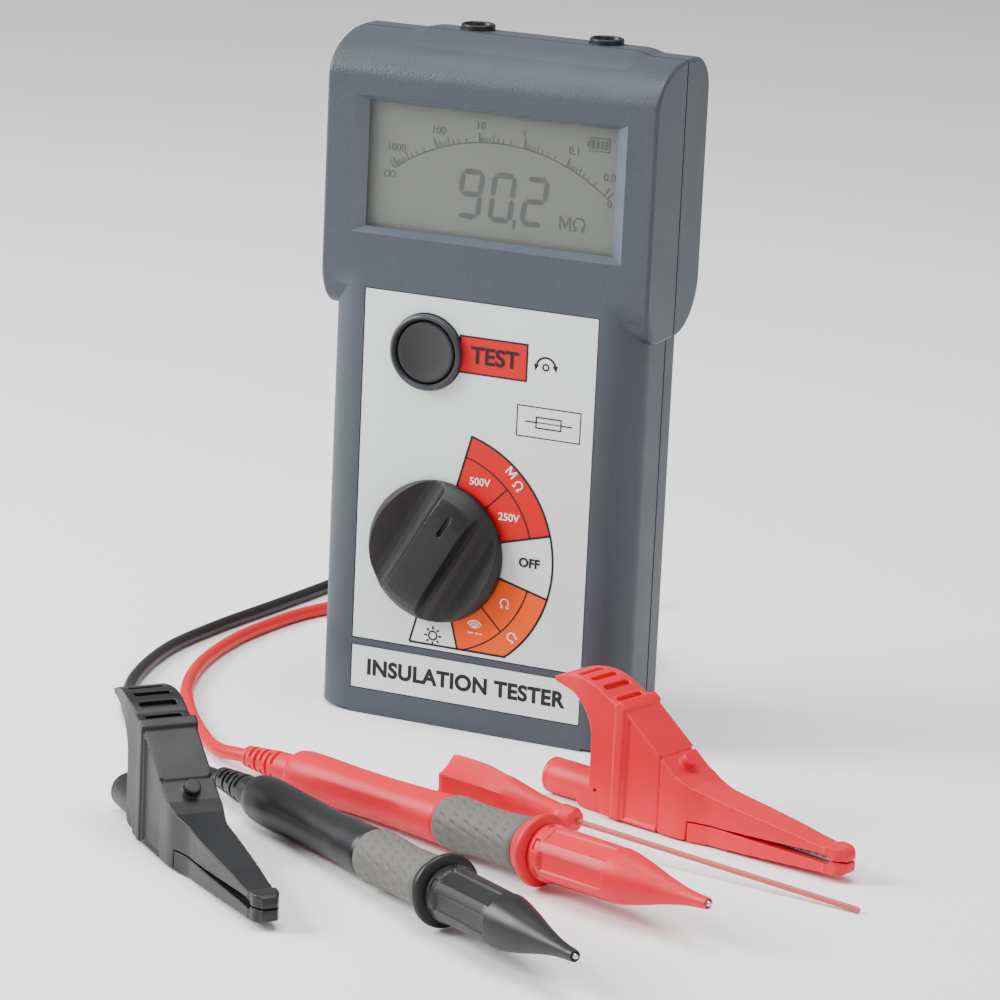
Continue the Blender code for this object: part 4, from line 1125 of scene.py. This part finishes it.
def finish_inside():
    finish_nodes(SEAL, "case_seal")
    finish_nodes(BOARD, "main_pcb")
    finish_nodes(BLACK, "buzzer")
    finish_nodes(CERAMIC, "fuse")
    finish_nodes(COPPER, "transformer")
    finish_nodes(CELL, *(f"battery_cell_{i + 1}" for i in range(5)))


# ---- probes
def build_probe(color):
    x, y, turn = PROBE_LAY[color]
    place = lay(x, y, PROBE_AXIS, turn, PROBE_SLOPE) @ ALONG_X
    plastic, slot = PLASTIC[color], f"{color}_plastic"

    def sculpted(name, low, high, radius, rings, around, bore=None, angle=50):
        return smooth(sculpted_mesh(name, low, high, radius, rings, around, bore), angle)

    cone = blended(mm([(0, 2.9), (1, 3), (12, 4), (15, 4.1), (18.5, 4)]), 0.0003)

    def relief(height, angle):
        wave = math.cos((height - 0.0012) / 0.0024 * 2 * math.pi)
        row = math.floor((height - 0.0012) / 0.0024 + 0.5) % 2
        open_side = abs(math.cos(angle + row * math.pi / 2))
        cut = step(wave, 0.05, 0.45) * step(open_side, 0.30, 0.42)
        inside = step(height, 0.0012, 0.0018) * (1 - step(height, 0.0134, 0.0140))
        return cone(height) - 0.0009 * cut * inside

    name = f"lead_{color}_relief_boot"
    piece(name, sculpted(name, 0.0, 0.0185, relief, 130, 64), plastic, slot, place,
          replaces=(f"lead_{color}_relief",))

    body = blended(mm([(18.8, 3.8), (19.4, 5), (20.6, 6), (23, 6.4), (28, 6.5), (42, 6.1), (56, 6),
                       (70, 6.3), (78, 6.6), (78.4, 6.2)]), 0.0006)

    def handle(height, angle):
        flat = step(height, 0.030, 0.036) * (1 - step(height, 0.062, 0.068))
        facing = step(math.cos(angle - math.radians(200)), 0.72, 0.86)
        return body(height) - 0.00025 * flat * facing

    name = f"probe_{color}_handle_shell"
    piece(name, sculpted(name, 0.0188, 0.0786, handle, 110, 80), plastic, slot, place)
    core = mm([(0, 127.8), (1.6, 127.8), (2, 126.8), (2, 114.2), (7.8, 114.2)])
    core += arc((0.0086, 0.1128), (0.0009, 0.0011), 90, -60, 12)
    core += mm([(7.2, 109.6), (7, 108.4), (5.7, 108.4), (5.7, 78), (0, 78)])
    turned_piece(f"probe_{color}_guard", core, 80, plastic, slot, place, 35,
                 replaces=(f"probe_{color}_handle",))

    waist = blended(mm([(78.8, 6.3), (79.4, 6.9), (81.2, 7.2), (85, 7.1), (90, 6.8), (95, 6.7),
                        (101, 6.9), (106, 7.2), (107.6, 7.1), (108, 6.6)]), 0.0006)
    rows, pitch = 18, 0.0044

    def grip(height, angle):
        dent = 0.0
        for k in range(6):
            at = 0.0822 + pitch * k
            along = (height - at) / 0.00105
            if abs(along) > 3:
                continue
            place_in_row = (angle / (2 * math.pi) * rows + 0.5 * (k % 2)) % 1.0 - 0.5
            across = (place_in_row - 0.16 * along) / 0.17
            dent += math.exp(-along * along * 0.9 - across * across)
        return waist(height) - 0.00042 * dent

    name = f"probe_{color}_grip_sleeve"
    piece(name, sculpted(name, 0.0788, 0.1080, grip, 150, 198, 0.0059, 60), GRIP, "grip_grey", place,
          replaces=(f"probe_{color}_grip",))

    taper = blended(mm([(114.5, 6.8), (115.2, 7.4), (117.2, 7.5), (130, 7.4), (140, 7.3), (144, 6.7),
                        (150, 5.3), (156, 3.7), (162, 2.4), (166.5, 1.8), (170, 1.6),
                        (170.6, 1.4)]), 0.0010)

    def nose(height, angle):
        r = taper(height)
        sector = (angle + math.pi / 6) % (math.pi / 3) - math.pi / 6
        window = step(height, 0.1186, 0.1192) * (1 - step(height, 0.1404, 0.1410))
        border = 1 - step(abs(sector), math.radians(17), math.radians(20))
        flat = 0.0066 / math.cos(sector)
        notch = step(height, 0.1158, 0.1162) * (1 - step(height, 0.1176, 0.1180))
        if window * border > 0:
            r = r + (min(r, flat) - r) * window * border
        hexagon = 0.0071 / math.cos(sector)
        blend = step(height, 0.1178, 0.1190) * (1 - step(height, 0.1420, 0.1520))
        r = min(r, r + (hexagon - r) * blend) if hexagon < r else r
        return r - 0.0006 * notch * step(abs(sector), math.radians(16), math.radians(20))

    name = f"probe_{color}_nose_shell"
    piece(name, sculpted(name, 0.1145, 0.1706, nose, 200, 180, 0.00105, 32), plastic, slot, place,
          f"probe_{color}_nose", (f"probe_{color}_nose",))
    point = mm([(0, 171.5), (0.5, 171.3), (0.8, 170.7), (0.9, 169.9), (0.9, 143.2), (1, 131),
                (0, 131)])
    turned_piece(f"probe_{color}_point", point, 32, STEEL, "steel", place,
                 replaces=(f"probe_{color}_tip",))


# ---- crocodile clips
PAD_CENTER, PAD_RADII = (0.0125, 0.0140), (0.0200, 0.0226)


def clip_width(x):
    """Half the clip's width at a distance from its rear."""
    if x < 0.0180:
        return 0.0060 + 0.00125 * step(x, 0.003, 0.018)
    if x < 0.0930:
        return 0.00725 - 0.00215 * step(x, 0.0470, 0.0590) - 0.0020 * step(x, 0.0590, 0.1050)
    return 0.0039 - 0.0004 * step(x, 0.0930, 0.0945) - 0.0016 * step(x, 0.0965, 0.0995)


def side_mesh(name, outline, half):
    """An outline in the clip's (x, z), as thick as `half` each way across the clip."""
    mesh = extrusion_mesh(name, [outline], half)
    mesh.transform(TOWARDS_FRONT)
    return mesh


def plan_mesh(low, high, width):
    """The clip seen from above, half as wide as width(x), between two heights."""
    stations = [0.003 + 0.0965 * k / 96 for k in range(97)]
    outline = [(x, -width(x)) for x in stations] + [(x, width(x)) for x in reversed(stations)]
    mesh = extrusion_mesh("plan", [outline], (high - low) / 2)
    mesh.transform(Matrix.Translation((0, 0, (low + high) / 2)))
    return mesh


def build_clip_base(color, place):
    line = mm([(12.4, 1.6), (13.4, 0.6), (15, 0.1), (46, 0.1), (98, 2.1), (99.2, 3), (99.5, 4.2),
               (99.3, 5.5), (94.8, 5.5), (94.5, 4.5), (90, 4.7), (62, 5.6), (27, 5.6), (26, 6),
               (19, 6), (17.5, 4.6), (12.4, 4.4), (11.9, 3)])
    base = work(side_mesh("clip_base", line, CLIP_HALF))

    def width(x):
        return min(clip_width(x), 0.0050) if x < 0.0512 else clip_width(x)

    z = CLIP_BARREL_Z
    boolean(base, plan_mesh(-0.002, 0.008, width), "INTERSECT")
    boolean(base, rod_mesh("barrel", (0, 0, z), (0.0180, 0, z), 0.0049, 64), "UNION")
    boolean(base, rod_mesh("bore", (-0.002, 0, z), (0.0150, 0, z), 0.0031, 48))
    boolean(base, box_mesh("channel", (0.0200, -0.0043, 0.0009), (0.0500, 0.0043, 0.0100)))
    boolean(base, box_mesh("slot", (0.0572, -0.0014, 0.0040), (0.0945, 0.0014, 0.0080)))
    mouth = mm([(6, 2), (6, 1.4), (4.75, 1.4), (4.75, 2)])
    boolean(base, turned_mesh("mouth", mouth, 48, ring=True),
            place=Matrix.Translation((0, 0, z)) @ ALONG_X)
    soften(base, CLIP_VOXEL, 3, 0.4)
    piece(f"clip_{color}_base_shell", finished(base), PLASTIC[color], f"{color}_plastic", place,
          replaces=(f"clip_{color}_base",))


def leaning(x, z, lean):
    """A place in the clip's middle plane, leaning about y."""
    return Matrix.Translation((x, 0, z)) @ Matrix.Rotation(lean, 4, "Y")


def build_clip_lever(color, place):
    top = arc(PAD_CENTER, PAD_RADII, 58, 112, 22)
    rear = arc((0.0070, 0.0200), (0.0112, 0.0125), 80, 5, 16)
    line = mm([(18, 7.4), (20.8, 7.4), (21.6, 5), (22.4, 1.4), (23.2, 0.8), (49.6, 0.6), (50.7, 0.8),
               (50.9, 6), (62, 6), (90, 6.9), (94.5, 6.8), (94.8, 6), (99.3, 6), (99.5, 7.2),
               (99, 8.6), (97.8, 9.2), (93.8, 9.3), (92.8, 8.8), (88, 9.4), (82.3, 10.4), (70, 12),
               (61, 13.2), (56, 14), (51.5, 15.1), (47, 17.2), (28.5, 31.4)])
    line += top + mm([(3.6, 34.5), (4.5, 33.2)]) + rear
    lever = work(side_mesh("clip_lever", line, CLIP_HALF))
    boolean(lever, plan_mesh(-0.002, 0.050, clip_width), "INTERSECT")
    boolean(lever, rod_mesh("arch", (0.010, 0, 0.0046), (0.0206, 0, 0.0046), 0.0070, 48))
    boolean(lever, box_mesh("pocket", (0.0205, -0.0053, 0.0), (0.0512, 0.0053, 0.0068)))
    boolean(lever, box_mesh("pocket_top", (0.0225, -0.0050, 0.0050), (0.0500, 0.0050, 0.0120)))
    for angle in (67, 80, 93, 106):
        a = math.radians(angle)
        lean = math.atan2(PAD_RADII[1] * math.cos(a), PAD_RADII[0] * math.sin(a))
        pad_slot(lever, leaning(PAD_CENTER[0] + PAD_RADII[0] * math.cos(a),
                                PAD_CENTER[1] + PAD_RADII[1] * math.sin(a), lean))
    pad_slot(lever, leaning(0.0249, 0.0327, math.radians(22)))
    on_slope = leaning(0.0285, 0.0314, math.atan2(0.0314 - 0.0172, 0.0470 - 0.0285))
    lip = work(box_mesh("lip", (-0.0022, -0.0078, -0.0020), (0.0010, 0.0078, 0.0008)))
    boolean(lever, finished(bevelled(lip, 0.0005, 2, 60)), "UNION", on_slope)
    boolean(lever, box_mesh("seam", (0.0168, -0.0090, -0.0003), (0.0173, 0.0090, 0.0020)),
            place=on_slope)
    for side in (-1, 1):
        panel = mm([(30.2, 1.6), (41.2, 1.6), (41.2, 20.7), (30.2, 29.2)])
        boolean(lever, side_mesh("panel", panel, 0.0007),
                place=Matrix.Translation((0, side * 0.00735, 0)))
        post = mm([(26.2, 0.8), (29, 0.8), (29.4, 30.6), (26.2, 32.2)])
        beside = Matrix.Translation((0, side * 0.0072, 0))
        rib = work(side_mesh("rib", post, 0.0006), beside)
        boolean(lever, finished(bevelled(rib, 0.0004, 2, 60)), "UNION", beside)
        boolean(lever, box_mesh("seam_side", (0.0412, side * 0.0068 - 0.0006, 0.0004),
                                (0.0418, side * 0.0068 + 0.0006, 0.0220)))
        ledge = mm([(61, 6.6), (92.5, 7.2), (92.5, 7.9), (82.3, 9.2), (70, 10.6), (61, 11.4)])
        boolean(lever, side_mesh("ledge", ledge, 0.0006),
                place=Matrix.Translation((0.0770, side * 0.00455, 0))
                @ Matrix.Rotation(-side * 0.043, 4, "Z")
                @ Matrix.Translation((-0.0770, side * 0.0004, 0)))
    boolean(lever, rod_mesh("peg", (0.0440, 0, 0.0180), (0.0464, 0, 0.0208), 0.0021, 32), "UNION")
    boolean(lever, box_mesh("tooth_slot", (0.0572, -0.0014, 0.0040), (0.0945, 0.0014, 0.0076)))
    px, pz = CLIP_PIVOT
    for side in (-1, 1):
        inner, outer = side * CLIP_EAR_Y - 0.0008, side * CLIP_EAR_Y + 0.0008
        boolean(lever, box_mesh("ear", (px - 0.0021, inner, pz), (px + 0.0021, outer, 0.0132)), "UNION")
        boolean(lever, rod_mesh("knuckle", (px, inner, pz), (px, outer, pz), 0.0021, 32), "UNION")
    boolean(lever, rod_mesh("ear_hole", (px, -0.0052, pz), (px, 0.0052, pz), 0.0012, 24))
    soften(lever, CLIP_VOXEL, 3, 0.4)
    piece(f"clip_{color}_lever_shell", finished(lever), PLASTIC[color], f"{color}_plastic", place,
          f"clip_{color}_lever", (f"clip_{color}_lever",))


def pad_slot(lever, place):
    """One rung of the thumb pad's ladder, with rounded ends."""
    outline = (arc((0.0, 0.0041), (0.00095, 0.00095), 0, 180, 10)
               + arc((0.0, -0.0041), (0.00095, 0.00095), 180, 360, 10))
    rung = extrusion_mesh("rung", [outline], 0.0020)
    rung.transform(Matrix.Translation((0, 0, 0.0004)))
    boolean(lever, rung, place=place)


def build_clip(color):
    x, y, turn = CLIP_LAY[color]
    place = lay(x, y, 0.0, turn)
    build_clip_base(color, place)
    build_clip_lever(color, place)
    finish_nodes(STEEL, f"clip_{color}_teeth_low", f"clip_{color}_teeth_top", f"clip_{color}_pin",
                 f"clip_{color}_spring")


def build_prod():
    x, y, turn = PROD_LAY
    place = lay(x, y, 0.0082, turn, -math.atan(0.0585)) @ ALONG_X
    skirt = blended(mm([(0, 6.2), (1, 6.8), (12, 6.8), (18, 6.2), (22, 5.2), (27, 4.1), (33, 3.4),
                        (35, 3.3), (38.5, 3.2), (39.4, 2.9), (40, 2)]), 0.0006)

    def cone(height, angle):
        flute = abs(math.cos(3 * angle)) ** 0.7
        fade = 1 - step(height, 0.0080, 0.0240)
        collar = 0.0003 * step(height, 0.0346, 0.0352)
        return skirt(height) + (0.0017 * (1 - flute) - 0.0005) * fade + collar

    shell = work(sculpted_mesh("prod_cone_shell", 0.0, 0.0400, cone, 120, 144))
    well = mm([(0, 22.4), (1.6, 22.4), (3, 15), (4.8, 8), (5.2, -2), (0, -2)])
    boolean(shell, turned_mesh("well", well, 64))
    boolean(shell, rod_mesh("bore", (0, 0, 0.0200), (0, 0, 0.0420), 0.00095, 32))
    piece("prod_cone_shell", smooth(finished(shell)), RED, "red_plastic", place,
          replaces=("prod_cone",))
    profile = mm([(0, 124), (0.5, 123.9), (0.8, 123.2), (0.8, 22.5), (0, 22.5)])
    turned_piece("prod_rod_shaft", profile, 24, ROD, "red_plastic", place, replaces=("prod_rod",))


# ---- studio
def area_light(name, spot, target, size, power):
    data = bpy.data.lights.new(name, "AREA")
    data.shape = "RECTANGLE"
    data.size, data.size_y = size
    data.energy = power
    light = bpy.data.objects.new(name, data)
    light.location = spot
    light.rotation_euler = (Vector(target) - Vector(spot)).to_track_quat("-Z", "Y").to_euler()
    bpy.context.scene.collection.objects.link(light)


def build_studio():
    bm = bmesh.new()
    bmesh.ops.create_grid(bm, x_segments=1, y_segments=1, size=6.0)
    floor = work(bmesh_to_mesh("floor", bm))
    paper = moulded("floor_paper", (0.92, 0.92, 0.92), 0.9, 0.0, mottle=0.0, specular=0.1)
    floor.data.materials.append(paper)
    world = bpy.data.worlds.new("studio")
    world.use_nodes = True
    with_inputs(world.node_tree.nodes["Background"], Color=(1, 1, 1, 1), Strength=0.50)
    bpy.context.scene.world = world
    area_light("key", (-0.93, -0.50, 0.70), (0, 0, 0.08), (0.5, 0.6), 25)
    area_light("top", (0.05, -0.10, 1.30), (0, 0, 0.0), (0.9, 0.7), 18)
    area_light("right", (0.9, -0.5, 0.5), (0, 0, 0.08), (0.5, 0.8), 2)


for lead in ("red", "black"):
    build_lead(lead)
build_front_case()
build_rear_case()
build_cover()
build_display()
build_dial()
build_label_print()
build_button()
build_knob()
build_sockets()
finish_inside()
build_screws()
for lead in ("red", "black"):
    build_probe(lead)
    build_clip(lead)
build_prod()
build_studio()
